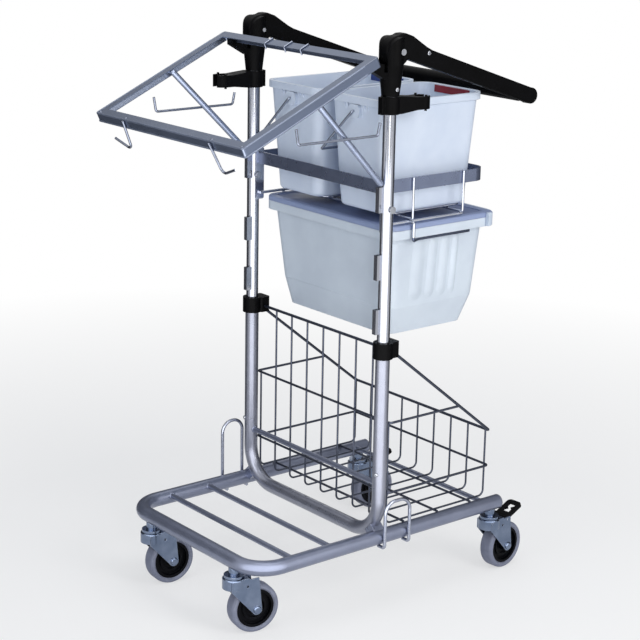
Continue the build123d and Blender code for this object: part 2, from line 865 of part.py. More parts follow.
def bail():
    inner = bail_plane - bail_wire / 2 - ear_hole
    points = [
        (0, -inner, bail_pivot_z),
        (0, -bail_plane, bail_pivot_z),
        (bail_reach_x, -bail_plane, bail_pivot_z + bail_reach_z),
        (bail_reach_x, bail_plane, bail_pivot_z + bail_reach_z),
        (0, bail_plane, bail_pivot_z),
        (0, inner, bail_pivot_z),
    ]
    return bent_rod(points, bail_wire, bail_bend)


def colour_strip():
    inner_floor = bucket_bottom + bucket_wall
    lean = math.atan2((bucket_top_depth - bucket_bottom_depth) / 2, rim_top - inner_floor)
    strip_z = rim_top - strip_height / 2 - strip_drop
    wall_y = bucket_bottom_depth / 2 - bucket_wall + (strip_z - inner_floor) * math.tan(lean)
    strip_y = wall_y - (strip_thickness / 2 + weld_gap) / math.cos(lean)
    strip = Rot(-math.degrees(lean), 0, 0) * Box(strip_width, strip_thickness, strip_height)
    return Pos(0, strip_y, strip_z) * strip


for name, x in (("right", bucket_x), ("left", -bucket_x)):
    place = Pos(x, bucket_y, 0)
    nodes["bucket_" + name] = place * bucket()
    nodes["bail_" + name] = place * bail()
    nodes["strip_" + name] = place * colour_strip()

# Storage box: creased tapered tub with a turned-down flange that rides on the box rails
flange_bottom = box_rail_z + side_rod / 2 + seat_gap
flange_top = flange_bottom + flange_height
box_bottom = flange_top - box_depth
box_crease = box_bottom + crease_rise
flange_y = (flange_front + flange_rear) / 2
flange_depth = flange_rear - flange_front


def box_section(half_x, front, rear, corner, z, inset):
    shape = RectangleRounded(2 * (half_x - inset), rear - front - 2 * inset, corner - inset)
    return Pos(0, (front + rear) / 2, z) * shape


def box_body(inset, floor_z, top_z):
    foot_section = box_section(foot_half_x, foot_front, foot_rear, box_corner, floor_z, inset)
    crease_section = box_section(crease_half_x, crease_front, crease_rear, box_corner, box_crease, inset)
    top_section = box_section(mouth_half_x, mouth_front, mouth_rear, box_corner, top_z, inset)
    return loft([foot_section, crease_section]) + loft([crease_section, top_section])



def flange_outline(grow, corner, z):
    return Pos(0, flange_y, z) * RectangleRounded(2 * (flange_x + grow), flange_depth + 2 * grow, corner)


flange_skirt = extrude(flange_outline(0, flange_corner, flange_bottom), flange_height)
flange_hollow = flange_outline(-flange_wall, flange_corner - flange_wall, flange_bottom)
flange_hollow = extrude(flange_hollow, flange_height - box_wall)
storage_box = box_body(0, box_bottom, flange_top) + (flange_skirt - flange_hollow)
storage_box = storage_box - box_body(box_wall, box_bottom + box_wall, flange_top)
nodes["storage_box"] = storage_box

# Lid: a shallow tray turned upside down, with a lip that turns down over the box's rear edge
lid_bottom = flange_top + seat_gap
lid_top = lid_bottom + lid_thickness
lid = extrude(flange_outline(0, flange_corner, lid_bottom), lid_thickness)
lid = fillet(lid.edges().group_by(Axis.Z)[-1], lid_round)
lip_grow = seat_gap + lip_wall
lip_low = lid_bottom - lip_drop
lip = extrude(flange_outline(lip_grow, flange_corner + lip_grow, lip_low), lid_top - lip_low)
lip = fillet(lip.edges().group_by(Axis.Z)[-1], lid_round)
lip = lip - extrude(flange_outline(seat_gap, flange_corner + seat_gap, lip_low), lip_drop)
lip_region = block(-rail_rear, rail_rear, flange_rear - lip_wrap, rail_rear, lip_low, lid_top)
lid = lid + (lip & lip_region)
lid_panel = flange_outline(-lid_border, lid_panel_corner, lid_top - lid_recess)
lid = lid - extrude(lid_panel, lid_recess)
lid_inside = flange_outline(-lid_wall, flange_corner - lid_wall, lid_bottom)
nodes["box_lid"] = lid - extrude(lid_inside, lid_thickness - lid_recess - lid_wall)

# Bag holder, made in the plane of its tilted frame: rear edge at y = 0, top face at z = 0
tilt = math.radians(bag_tilt)
bag_plane = Plane(
    origin=(0, bag_rear_y, bag_rear_z), x_dir=(1, 0, 0), z_dir=(0, -math.sin(tilt), math.cos(tilt))
)
frame_centre = Pos(0, -bag_slant / 2, 0)
bag_outer = frame_centre * RectangleRounded(2 * bag_half_width, bag_slant, bag_corner)
bag_under = frame_centre * RectangleRounded(
    2 * (bag_half_width - angle_thickness), bag_slant - 2 * angle_thickness, bag_inner_corner
)
bag_opening = frame_centre * Rectangle(2 * (bag_half_width - angle_leg), bag_slant - 2 * angle_leg)
bag_frame = extrude(bag_outer, -angle_leg) - extrude(bag_opening, -angle_leg)
bag_frame = bag_frame - Pos(0, 0, -angle_thickness) * extrude(bag_under, -angle_leg)
hem_y = -angle_thickness / 2
hem = crosswise(bag_corner - bag_half_width, bag_half_width - bag_corner, hem_y, -angle_leg, hem_radius)
nodes["bag_frame"] = bag_plane * (bag_frame + hem)

strut_radius = strut_diameter / 2
strut_top_x = bag_half_width - strut_inset
strut_drop = (angle_thickness + strut_radius + weld_gap) / math.cos(tilt)
strut_top_z = bag_rear_z + (strut_top_y - bag_rear_y) * math.tan(tilt) - strut_drop
strut_foot_y = -post_radius - strut_radius - seat_gap
strut_top = (strut_top_x, strut_top_y, strut_top_z)
strut_foot = (post_x, strut_foot_y, strut_foot_z)
strut = straight_rod(strut_foot, strut_top, strut_diameter)
strut = strut + Pos(*strut_top) * Sphere(strut_radius)
strut = strut + Pos(*strut_foot) * Sphere(strut_radius)
lug_end = bag_half_width - angle_thickness - weld_gap
strut = strut + crosswise(strut_top_x, lug_end, strut_top_y, strut_top_z, strut_lug)
nodes["bag_struts"] = group(both_sides(strut))

strut_height = strut_top_z - strut_foot_z
strut_splay = strut_top_x - post_x
hook_share = (side_hook_low - strut_foot_z) / strut_height
hook_stand = (strut_radius + hook_wire / 2 + seat_gap) / math.cos(math.atan2(strut_splay, strut_height))
side_hook_x = post_x + hook_share * strut_splay + hook_stand
side_hook_points = [
    (side_hook_x, side_hook_front - side_hook_splay, side_hook_low + side_hook_tip),
    (side_hook_x, side_hook_front, side_hook_low),
    (side_hook_x, side_hook_rear, side_hook_low),
    (side_hook_x, side_hook_rear + side_hook_splay, side_hook_low + side_hook_rear_tip),
]
nodes["bag_side_hooks"] = group(both_sides(bent_rod(side_hook_points, hook_wire, side_hook_bend)))

hook_face = -bag_slant - hook_wire / 2 - weld_gap
front_hook_x = bag_half_width - front_hook_inset
front_hook_points = [
    (front_hook_x, hook_face, -angle_thickness),
    (front_hook_x + front_hook_drift, hook_face, -front_hook_fall),
    (front_hook_x + front_hook_reach, hook_face, -front_hook_tip_fall),
]
front_hook = bag_plane * bent_rod(front_hook_points, hook_wire, front_hook_bend)
nodes["bag_front_hooks"] = group(both_sides(front_hook))

clip_out = clip_wire / 2 + weld_gap
rear_clips = []
for clip_x in staple_spots:
    staple_points = [
        (clip_x, clip_out, -staple_fall),
        (clip_x, clip_out, clip_out),
        (clip_x, -angle_leg - clip_out, clip_out),
        (clip_x, -angle_leg - clip_out, -staple_fall),
    ]
    rear_clips.append(bag_plane * bent_rod(staple_points, clip_wire, clip_out))
nodes["bag_rear_clips"] = group(rear_clips)

# Handle joints: flared sleeves with two cheeks, and a hook with a trough for the bag holder's rear hem
hem_axis = bag_plane.from_local_coords(Vector(0, hem_y, -angle_leg))
trough_radius = hem_radius + seat_gap
hook_top = hem_axis.Z
sleeve_points = [
    (0, sleeve_bottom),
    (sleeve_bottom_radius, sleeve_bottom),
    (sleeve_top_radius, sleeve_flare_z),
    (sleeve_top_radius, pivot_z + cheek_radius),
    (0, pivot_z + cheek_radius),
]
sleeve = Pos(post_x, 0, 0) * revolve(Plane.XZ * outline_of(sleeve_points), Axis.Z)
cheek_round = crosswise(
    post_x - sleeve_top_radius, post_x + sleeve_top_radius, pivot_y, pivot_z, cheek_radius
)
below_pivot = block(
    post_x - leg_diameter, post_x + leg_diameter, -leg_diameter, leg_diameter, sleeve_bottom, pivot_z
)
sleeve = sleeve & (cheek_round + below_pivot)
hook_points = [
    (0, hook_top - hook_depth),
    (hook_toe_y, hook_top - hook_toe_depth),
    (hem_axis.Y - hook_nose, hook_top - hook_lip),
    (hem_axis.Y - hook_nose, hook_top + hook_lip),
    (hem_axis.Y - hook_lip, hook_top + hook_lip),
    (hem_axis.Y - hook_seat, hook_top),
    (0, hook_top),
]
hook = extrude(Plane.YZ * outline_of(hook_points), hook_width)
hook = Pos(post_x - hook_width / 2, 0, 0) * hook
trough = crosswise(post_x - hook_width, post_x + hook_width, hem_axis.Y, hem_axis.Z, trough_radius)
joint = sleeve + (hook - trough)
slot_half = arm_width / 2 + slot_play
slot_front = -sleeve_top_radius - slot_play
slot_rear = 2 * leg_diameter
slot_z = pivot_z - hood_sweep
slot_top = pivot_z + slot_rear
joint = joint - block(post_x - slot_half, post_x + slot_half, slot_front, slot_rear, slot_z, slot_top)
joint = joint - upright(post_x, 0, sleeve_bottom, post_top + weld_gap, post_radius + weld_gap)
pin_radius = pivot_pin / 2
joint = joint - crosswise(0, 2 * post_x, pivot_y, pivot_z, pin_radius + weld_gap)
nodes["handle_joint_right"] = joint
nodes["handle_joint_left"] = mirror(joint, about=Plane.YZ)
pin_half = math.sqrt(sleeve_top_radius**2 - (pivot_y - pin_radius - pin_rim) ** 2) + weld_gap
pin = crosswise(post_x - pin_half, post_x + pin_half, pivot_y, pivot_z, pin_radius)
pin_end = post_x + pin_half + pin_head_height
pin_head = crosswise(post_x + pin_half, pin_end, pivot_y, pivot_z, pin_radius + pin_rim)
nodes["handle_pivot_pins"] = group(both_sides(pin + pin_head))

# Push handle: two arms that turn in the joints, joined by the grip
fall = math.tan(math.radians(arm_slope))
arm_run_z = pivot_z + arm_run_rise
arm_end_z = arm_run_z - (arm_end_y - arm_run_y) * fall
tip_radius = arm_depth / 2
arm_points = [
    (pivot_y, pivot_z),
    (pivot_y, pivot_z + knuckle_radius),
    (arm_brow_y, pivot_z + arm_crest_rise - slot_play),
    (arm_crest_y, pivot_z + arm_crest_rise),
    (arm_fall_y, pivot_z + arm_fall_rise),
    (arm_neck_y, pivot_z + arm_neck_rise),
    (arm_run_y, arm_run_z),
    (arm_end_y, arm_end_z),
    (arm_end_y, arm_end_z - arm_depth),
    (arm_under_y, pivot_z + arm_under_rise),
    (arm_throat_y, pivot_z + arm_throat_rise),
]
arm_outline = outline_of(arm_points)
arm_outline = arm_outline + Pos(pivot_y, pivot_z) * Circle(knuckle_radius)
arm_outline = arm_outline + Pos(arm_end_y, arm_end_z - tip_radius) * Circle(tip_radius)
arm = Pos(post_x - arm_width / 2, 0, 0) * extrude(Plane.YZ * arm_outline, arm_width)
arm_sides = arm.faces().sort_by(Axis.X)
arm_edges = arm_sides[0].edges() + arm_sides[-1].edges()
arm = fillet(arm_edges, arm_edge)
arm = arm - crosswise(0, 2 * post_x, pivot_y, pivot_z, pin_radius + running_gap)
nodes["handle_arm_right"] = arm
nodes["handle_arm_left"] = mirror(arm, about=Plane.YZ)
grip_z = arm_run_z - (grip_y - arm_run_y) * fall - tip_radius
grip_half = post_x - arm_width / 2 - weld_gap
grip = crosswise(-grip_half, grip_half, grip_y, grip_z, grip_radius)
nodes["handle_grip"] = grip - crosswise(-grip_half, grip_half, grip_y, grip_z, grip_radius - grip_wall)


# Tool clips: collars round the posts with an arm that ends in a sprung jaw
def tool_clip():
    head = clip_reach + clip_jaw_radius
    jaw = clip_jaw_radius - seat_gap
    plan = outline_of([(0, -clip_neck), (clip_reach, -jaw), (clip_reach, jaw), (0, clip_neck)])
    plan = plan + Pos(clip_reach, 0) * Circle(clip_jaw_radius)
    plan = plan + Circle(clip_radius)
    plan = plan + Pos(-clip_radius, 0) * Rectangle(clip_ear, clip_ear)
    side_points = [
        (-head, -clip_height / 2),
        (clip_radius, -clip_height / 2),
        (clip_reach - clip_shoulder, -clip_head_height / 2),
        (head, -clip_head_height / 2),
        (head, clip_head_height / 2),
        (clip_reach - clip_shoulder, clip_head_height / 2),
        (clip_radius, clip_height / 2),
        (-head, clip_height / 2),
    ]
    side = outline_of(side_points)
    body = Pos(0, 0, -clip_height) * extrude(plan, 2 * clip_height)
    trimmer = Pos(0, head, 0) * extrude(Plane.XZ * side, 2 * head)
    body = body & trimmer
    stud_height = clip_head_height + 2 * clip_stud_rise
    for across in (-1, 1):
        stud_y = across * (clip_grip_radius + clip_jaw_radius) / 2
        body = body + Pos(clip_reach, stud_y, 0) * Cylinder(clip_stud, stud_height)
    body = body - Cylinder(post_radius + running_gap, 2 * clip_height)
    body = body - Pos(clip_reach, 0, 0) * Cylinder(clip_grip_radius, 2 * clip_height)
    mouth = block(clip_reach, 2 * head, -clip_mouth / 2, clip_mouth / 2, -clip_height, clip_height)
    return body - mouth


nodes["tool_clip_right"] = Pos(post_x, 0, clip_z) * Rot(0, 0, near_clip_heading) * tool_clip()
nodes["tool_clip_left"] = Pos(-post_x, 0, clip_z) * Rot(0, 0, far_clip_heading) * tool_clip()

# Centre the trolley over its footprint and write one file per piece
box = Compound(children=[shape for node in nodes.values() for shape in node.solids()]).bounding_box()
shift_x = -(box.min.X + box.max.X) / 2
shift_y = -(box.min.Y + box.max.Y) / 2
print("size", box.size, "shift", shift_x, shift_y, "low", box.min.Z)
for name, shape in nodes.items():
    placed = [Pos(0, shift_y, 0) * solid for solid in shape.solids()]
    whole = placed[0] if len(placed) == 1 else Compound(children=placed)
    whole.label = name
    export_step(whole, "parts/" + name + ".step")
    print(name, len(placed), round(sum(solid.volume for solid in placed) / 1000, 1))
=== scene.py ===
import math

import bpy
from mathutils import Matrix, Vector


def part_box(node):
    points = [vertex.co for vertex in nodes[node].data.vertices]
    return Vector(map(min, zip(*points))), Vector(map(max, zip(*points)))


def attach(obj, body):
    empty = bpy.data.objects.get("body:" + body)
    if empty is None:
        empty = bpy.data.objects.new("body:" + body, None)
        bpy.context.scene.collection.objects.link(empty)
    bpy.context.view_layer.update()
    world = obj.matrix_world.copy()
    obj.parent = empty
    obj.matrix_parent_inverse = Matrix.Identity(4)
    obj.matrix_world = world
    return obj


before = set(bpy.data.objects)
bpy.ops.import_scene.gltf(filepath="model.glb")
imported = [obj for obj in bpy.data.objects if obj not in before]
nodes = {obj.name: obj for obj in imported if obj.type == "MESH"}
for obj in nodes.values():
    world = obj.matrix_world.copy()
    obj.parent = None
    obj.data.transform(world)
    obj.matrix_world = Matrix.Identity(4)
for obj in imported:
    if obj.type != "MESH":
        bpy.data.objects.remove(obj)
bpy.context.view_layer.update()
bpy.ops.object.select_all(action="DESELECT")


# Base of the trolley: one bent steel tube, open at the rear, with round bars welded between its rails.
# The steel is sprayed with a satin lavender-grey powder coat that has a slight orange peel.
def paint(red, green, blue):
    """Screen values from 0 to 255 as the linear colour that a shader takes."""
    channels = []
    for value in (red, green, blue):
        share = value / 255
        channels.append(share / 12.92 if share <= 0.04045 else ((share + 0.055) / 1.055) ** 2.4)
    return (*channels, 1.0)


def blank_finish(name, metallic=0.0):
    finish = bpy.data.materials.new(name)
    finish.use_nodes = True
    shader = finish.node_tree.nodes["Principled BSDF"]
    shader.inputs["Metallic"].default_value = metallic
    return finish, shader


def noise_over(tree_nodes, links, scale, detail, stretch):
    """A cloudy mask fixed to the piece, drawn out along an axis where stretch is small."""
    place = tree_nodes.new("ShaderNodeTexCoord")
    turn = tree_nodes.new("ShaderNodeMapping")
    turn.inputs["Scale"].default_value = stretch
    links.new(place.outputs["Object"], turn.inputs["Vector"])
    noise = tree_nodes.new("ShaderNodeTexNoise")
    noise.inputs["Scale"].default_value = scale
    noise.inputs["Detail"].default_value = detail
    links.new(turn.outputs["Vector"], noise.inputs["Vector"])
    return noise.outputs["Fac"]


def two_tones(tree_nodes, links, mask, tones, tone_ends=(0.35, 0.65)):
    ramp = tree_nodes.new("ShaderNodeValToRGB")
    for element, position, tone in zip(ramp.color_ramp.elements, tone_ends, tones):
        element.position = position
        element.color = tone
    links.new(mask, ramp.inputs["Fac"])
    return ramp.outputs["Color"]


def spread(tree_nodes, links, mask, low, high, from_low=0.3, from_high=0.7):
    """The mask stretched so that from_low to from_high becomes low to high."""
    ranged = tree_nodes.new("ShaderNodeMapRange")
    ranged.inputs["From Min"].default_value = from_low
    ranged.inputs["From Max"].default_value = from_high
    ranged.inputs["To Min"].default_value = low
    ranged.inputs["To Max"].default_value = high
    links.new(mask, ranged.inputs["Value"])
    return ranged.outputs["Result"]


def rounded_edges(tree_nodes, radius, edge_samples=4):
    bevel = tree_nodes.new("ShaderNodeBevel")
    bevel.samples = edge_samples
    bevel.inputs["Radius"].default_value = radius
    return bevel.outputs["Normal"]


def edge_rub(tree_nodes, links, soft_normal, speckle, rub_start=0.86, rub_end=0.985):
    """A mask that is strong where the rounded edge turns away from its face, broken up by the speckle."""
    geometry = tree_nodes.new("ShaderNodeNewGeometry")
    dot = tree_nodes.new("ShaderNodeVectorMath")
    dot.operation = "DOT_PRODUCT"
    links.new(soft_normal, dot.inputs[0])
    links.new(geometry.outputs["Normal"], dot.inputs[1])
    turned = spread(tree_nodes, links, dot.outputs["Value"], 1.0, 0.0, rub_start, rub_end)
    worn = tree_nodes.new("ShaderNodeMath")
    worn.operation = "MULTIPLY"
    links.new(turned, worn.inputs[0])
    links.new(speckle, worn.inputs[1])
    return worn.outputs["Value"]


def over_tone(tree_nodes, links, mask, under, tone):
    """The tone laid over the colour under it, where the mask is strong."""
    blend = tree_nodes.new("ShaderNodeMix")
    blend.data_type = "RGBA"
    links.new(mask, blend.inputs["Factor"])
    links.new(under, blend.inputs["A"])
    blend.inputs["B"].default_value = tone
    return blend.outputs["Result"]


def relief(tree_nodes, links, shader, height, depth, soft_normal):
    bump = tree_nodes.new("ShaderNodeBump")
    bump.inputs["Distance"].default_value = depth
    links.new(height, bump.inputs["Height"])
    if soft_normal is not None:
        links.new(soft_normal, bump.inputs["Normal"])
    links.new(bump.outputs["Normal"], shader.inputs["Normal"])


def grained_finish(name, tones, rough, grain_size, grain_depth, patch_size, metallic=0.0, rubbed=None,
                   edge_radius=0.0, stretch=(1, 1, 1), specular=0.5):
    """Two cloudy tones, a fine grain and an uneven shine, with edges rounded and rubbed where asked."""
    patch_detail = 5
    grain_detail = 3
    smear_detail = 6
    smears_per_patch = 2.7
    speckle_start = 0.4
    speckle_end = 0.62
    finish, shader = blank_finish(name, metallic)
    tree_nodes = finish.node_tree.nodes
    links = finish.node_tree.links
    shader.inputs["Specular IOR Level"].default_value = specular
    patches = noise_over(tree_nodes, links, 1 / patch_size, patch_detail, stretch)
    colour = two_tones(tree_nodes, links, patches, tones)
    grain = noise_over(tree_nodes, links, 1 / grain_size, grain_detail, stretch)
    smears = noise_over(tree_nodes, links, smears_per_patch / patch_size, smear_detail, stretch)
    roughness = spread(tree_nodes, links, smears, rough[0], rough[1])
    soft_normal = rounded_edges(tree_nodes, edge_radius) if edge_radius else None
    if rubbed is not None:
        speckle = spread(tree_nodes, links, smears, 0.0, 1.0, speckle_start, speckle_end)
        mask = edge_rub(tree_nodes, links, soft_normal, speckle)
        colour = over_tone(tree_nodes, links, mask, colour, rubbed)
    links.new(colour, shader.inputs["Base Color"])
    links.new(roughness, shader.inputs["Roughness"])
    relief(tree_nodes, links, shader, grain, grain_depth, soft_normal)
    return finish


def dress(names, finish):
    for name in names:
        node = nodes[name]
        node.data.materials.clear()
        node.data.materials.append(finish)


powder_coat = grained_finish(
    "grey_powder_coat", (paint(124, 130, 150), paint(130, 136, 156)), rough=(0.29, 0.34),
    grain_size=0.0016, grain_depth=0.000006, patch_size=0.03, metallic=0.7)
dress(["base_frame", "platform_slats", "rear_cross_rod"], powder_coat)

# Upright: a hoop bent from one steel tube, a round bar welded across its legs, and two saddles that tie its
# bends to the rails. The hoop carries a brighter, paler copy of the frame's coat, a painted highlight for the
# light its legs mirror, and the saddles' edges are rubbed.
# Painted highlight: the hoop's coat is the frame's coat made brighter, for the light its legs mirror.
hoop_highlight_coat = grained_finish(
    "grey_hoop_highlight_coat", (paint(140, 143, 156), paint(146, 149, 162)), rough=(0.27, 0.32),
    grain_size=0.0016, grain_depth=0.000006, patch_size=0.03, metallic=0.75)
foot_coat = grained_finish(
    "grey_foot_coat", (paint(124, 130, 150), paint(130, 136, 156)), rough=(0.26, 0.32),
    grain_size=0.0016, grain_depth=0.000008, patch_size=0.03, metallic=0.7,
    rubbed=paint(180, 184, 198), edge_radius=0.0012)
dress(["upright_hoop"], hoop_highlight_coat)
dress(["upright_feet"], foot_coat)
dress(["hoop_cross_bar"], powder_coat)

# Weld beads: lumpy rings of filler metal where each round bar is welded to the side of a tube, sprayed over
# with the same coat. Each ring lies on the curve where the bar meets the tube.
bead_radius = 0.0017
bead_offset = bead_radius / 3
bead_jitter = 0.0005
bead_steps = 40
bead_sides = 10
length_axis = 1
height_axis = 2
hands = ((1, "right"), (-1, "left"))
rail_low, rail_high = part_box("base_frame")
rail_radius = 0.015
rail_x = rail_high[0] - rail_radius
rail_z = (rail_low[2] + rail_high[2]) / 2
leg_radius = 0.014
leg_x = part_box("upright_hoop")[1][0] - leg_radius


def middle_of(node):
    """The middle of a piece, looking along the trolley's width, as its place in Y and in Z."""
    low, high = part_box(node)
    return (low[1] + high[1]) / 2, (low[2] + high[2]) / 2


def half_height(node):
    low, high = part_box(node)
    return (high[2] - low[2]) / 2


def weld_bead(name, side, bar_place, bar_radius, tube_x, tube_centre, tube_radius, axis, seed):
    bpy.ops.object.select_all(action="DESELECT")
    bpy.ops.mesh.primitive_torus_add(
        major_segments=bead_steps, minor_segments=bead_sides, major_radius=bar_radius + bead_offset,
        minor_radius=bead_radius, location=(0, bar_place[0], bar_place[1]), rotation=(0, math.pi / 2, 0))
    bead = bpy.context.object
    bead.name = name
    bpy.ops.object.transform_apply(location=True, rotation=True, scale=True)
    bpy.ops.object.mode_set(mode="EDIT")
    bpy.ops.mesh.select_all(action="SELECT")
    bpy.ops.transform.vertex_random(offset=bead_jitter, uniform=1.0, seed=seed)
    bpy.ops.mesh.vertices_smooth(factor=0.5, repeat=1)
    bpy.ops.object.mode_set(mode="OBJECT")
    for point in bead.data.vertices:
        off_axis = point.co[axis] - tube_centre
        point.co.x += side * (tube_x - math.sqrt(max(tube_radius ** 2 - off_axis ** 2, 0.0)))
    bpy.ops.object.shade_smooth()
    bead.data.materials.append(powder_coat)
    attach(bead, "chassis")


slat_low, slat_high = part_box("platform_slats")
slat_radius = half_height("platform_slats")
slat_z = middle_of("platform_slats")[1]
cross_bar = middle_of("hoop_cross_bar")
rail_welds = (
    ("front_slat", (slat_low[1] + slat_radius, slat_z), slat_radius, 11),
    ("back_slat", (slat_high[1] - slat_radius, slat_z), slat_radius, 21),
    ("rear_rod", middle_of("rear_cross_rod"), half_height("rear_cross_rod"), 31))
leg_seed = 41
for side, hand in hands:
    for bar, bar_place, bar_radius, seed in rail_welds:
        weld_bead("weld_%s_%s" % (bar, hand), side, bar_place, bar_radius,
                  rail_x, rail_z, rail_radius, height_axis, seed + side)
    weld_bead("weld_hoop_bar_" + hand, side, cross_bar, half_height("hoop_cross_bar"),
              leg_x, cross_bar[0], leg_radius, length_axis, leg_seed + side)

# End plugs: soft grey plastic caps pushed into the open ends of the rails. They are moulded, with a faint
# spark-eroded grain and a small rounded edge.
plug_plastic = grained_finish(
    "grey_plug", (paint(104, 106, 116), paint(116, 118, 128)), rough=(0.45, 0.6),
    grain_size=0.0006, grain_depth=0.00005, patch_size=0.05, edge_radius=0.0006)
dress(["rail_end_plugs"], plug_plastic)

# Posts and the pockets on their fronts: bright drawn steel, the posts telescoped into the hoop's legs. Fine
# drawing lines run along their length, with a few hand marks in the shine.
bright_tube = grained_finish(
    "bright_tube", (paint(158, 161, 170), paint(170, 173, 182)), rough=(0.14, 0.19),
    grain_size=0.0011, grain_depth=0.000004, patch_size=0.02, metallic=1.0, stretch=(1, 1, 0.04))
dress(["post_right", "post_left", "post_pockets"], bright_tube)

# Wire basket: steel wire bent into rings and U-wires, welded wherever two wires cross, and held at its top
# corners by the clamps on the posts. Its zinc is a dull dark grey.
basket_wire = grained_finish(
    "basket_wire", (paint(64, 69, 83), paint(74, 79, 93)), rough=(0.28, 0.36),
    grain_size=0.0018, grain_depth=0.00001, patch_size=0.012, metallic=0.8)
dress(["wire_basket"], basket_wire)

# Tool loops: two arches of thicker steel wire, bent so that they hook under the rails. They are plated
# bright, with a faint drawing grain.
loop_wire = grained_finish(
    "grey_wire", (paint(158, 163, 178), paint(166, 171, 186)), rough=(0.2, 0.25),
    grain_size=0.0012, grain_depth=0.000003, patch_size=0.02, metallic=1.0)
dress(["tool_loop_right", "tool_loop_left"], loop_wire)

# Black moulded nylon: basket clamps, tool clips, handle joints, arms, grip and brake pedals. Fine moulded
# grain, a satin surface, and edges rubbed slightly grey by hands.
black_plastic = grained_finish(
    "black_plastic", (paint(5, 5, 6), paint(8, 8, 10)), rough=(0.36, 0.46),
    grain_size=0.0007, grain_depth=0.00004, patch_size=0.03,
    rubbed=paint(36, 37, 42), edge_radius=0.0012, specular=0.05)
dress(["basket_clamps", "tool_clip_right", "tool_clip_left", "handle_joint_right", "handle_joint_left",
       "handle_arm_right", "handle_arm_left", "handle_grip", "pedal_rear_right", "pedal_rear_left"],
      black_plastic)

# Pins and bolts: turned steel, plated bright. The pins carry the handle's arms in their joints, and the bolts
# hold the rack's hanger plates to the posts.
screw_steel = grained_finish(
    "screw_steel", (paint(158, 161, 169), paint(174, 177, 184)), rough=(0.2, 0.28),
    grain_size=0.0009, grain_depth=0.000005, patch_size=0.01, metallic=1.0, edge_radius=0.0005)
dress(["handle_pivot_pins", "rack_hanger_bolts"], screw_steel)

# Cross-head screws: rounded steel heads with a driven cross, one low on each handle sleeve, one through the
# side of each handle arm, and one that pins each post inside its leg. One head is made in millimetres, then
# brought to metres and copied.
millimetre = 0.001
head_radius = 4.2
head_height = 2.8
head_sides = 32
head_round = 0.6 * head_height
head_top = 0.9 * head_height
slot_width = 1.1
slot_length = 5.0
slot_depth = 1.6


def choose_edges(piece, wanted):
    """Goes into edit mode with only those edges selected whose two ends satisfy wanted."""
    bpy.ops.object.mode_set(mode="EDIT")
    bpy.ops.mesh.select_mode(type="EDGE")
    bpy.ops.mesh.select_all(action="DESELECT")
    bpy.ops.object.mode_set(mode="OBJECT")
    points = piece.data.vertices
    for edge in piece.data.edges:
        edge.select = wanted(points[edge.vertices[0]].co, points[edge.vertices[1]].co)
    bpy.ops.object.mode_set(mode="EDIT")


bpy.ops.object.select_all(action="DESELECT")
bpy.ops.mesh.primitive_cylinder_add(vertices=head_sides, radius=head_radius, depth=head_height,
                                    location=(0, 0, head_height / 2))
screw_head = bpy.context.object
bpy.ops.object.transform_apply(location=True, rotation=True, scale=True)
choose_edges(screw_head, lambda a, b: min(a.z, b.z) > head_top)
bpy.ops.mesh.bevel(offset=head_round, segments=5, profile=0.55)
bpy.ops.object.mode_set(mode="OBJECT")
for turn in (0.0, math.pi / 2):
    bpy.ops.object.select_all(action="DESELECT")
    bpy.ops.mesh.primitive_cube_add(size=1.0, location=(0, 0, head_height), rotation=(0, 0, turn),
                                    scale=(slot_length, slot_width, 2 * slot_depth))
    blade = bpy.context.object
    bpy.context.view_layer.objects.active = screw_head
    cut = screw_head.modifiers.new("driven_cross", "BOOLEAN")
    cut.operation = "DIFFERENCE"
    cut.object = blade
    bpy.ops.object.modifier_apply(modifier=cut.name)
    bpy.data.objects.remove(blade)
screw_head.data.transform(Matrix.Scale(millimetre, 4))


def own_copy(name, head, place, turn):
    """A copy with its own mesh, turned and set in place there, and left as the one selected piece."""
    piece = bpy.data.objects.new(name, head.data.copy())
    bpy.context.collection.objects.link(piece)
    piece.data.transform(Matrix.Translation(place) @ turn)
    bpy.ops.object.select_all(action="DESELECT")
    piece.select_set(True)
    bpy.context.view_layer.objects.active = piece
    return piece


def turn_to(facing):
    return Vector((0, 0, 1)).rotation_difference(Vector(facing)).to_matrix().to_4x4()


def set_screw(name, place, facing, body):
    screw = own_copy(name, screw_head, place, turn_to(facing))
    bpy.ops.object.shade_smooth_by_angle(angle=math.radians(40))
    screw.data.materials.append(screw_steel)
    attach(screw, body)


post_low, post_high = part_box("post_right")
post_x = (post_low[0] + post_high[0]) / 2
post_y = (post_low[1] + post_high[1]) / 2
arm_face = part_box("handle_arm_right")[1][0]
arm_screw_y = post_y + 0.082
arm_screw_z = 1.1025
sleeve_screw_x = post_x + 0.0183
sleeve_screw_z = 1.041
leg_screw_z = 0.284
leg_screw_way = (0.39, -0.92)
leg_screw_x = leg_x + leg_screw_way[0] * leg_radius
leg_screw_y = cross_bar[0] + leg_screw_way[1] * leg_radius
for side, hand in hands:
    set_screw("arm_screw_" + hand, (side * arm_face, arm_screw_y, arm_screw_z), (side, 0, 0), "push_handle")
    set_screw("sleeve_screw_" + hand, (side * sleeve_screw_x, post_y, sleeve_screw_z), (side, 0, 0),
              "chassis")
    set_screw("leg_screw_" + hand, (side * leg_screw_x, leg_screw_y, leg_screw_z),
              (side * leg_screw_way[0], leg_screw_way[1], 0), "chassis")
bpy.data.objects.remove(screw_head)

# Castor forks and mounts: forks pressed from sheet steel that swivel under mounts fixed in the base tube.
# All are zinc-plated blue-grey, mottled by the bath, with edges rubbed bright.
zinc_steel = grained_finish(
    "zinc_steel", (paint(104, 117, 140), paint(124, 136, 158)), rough=(0.17, 0.23),
    grain_size=0.0016, grain_depth=0.000006, patch_size=0.03, metallic=1.0,
    rubbed=paint(206, 209, 216), edge_radius=0.0008)
castors = ["front_right", "front_left", "rear_right", "rear_left"]
dress(["castor_mounts"] + ["fork_" + name for name in castors], zinc_steel)

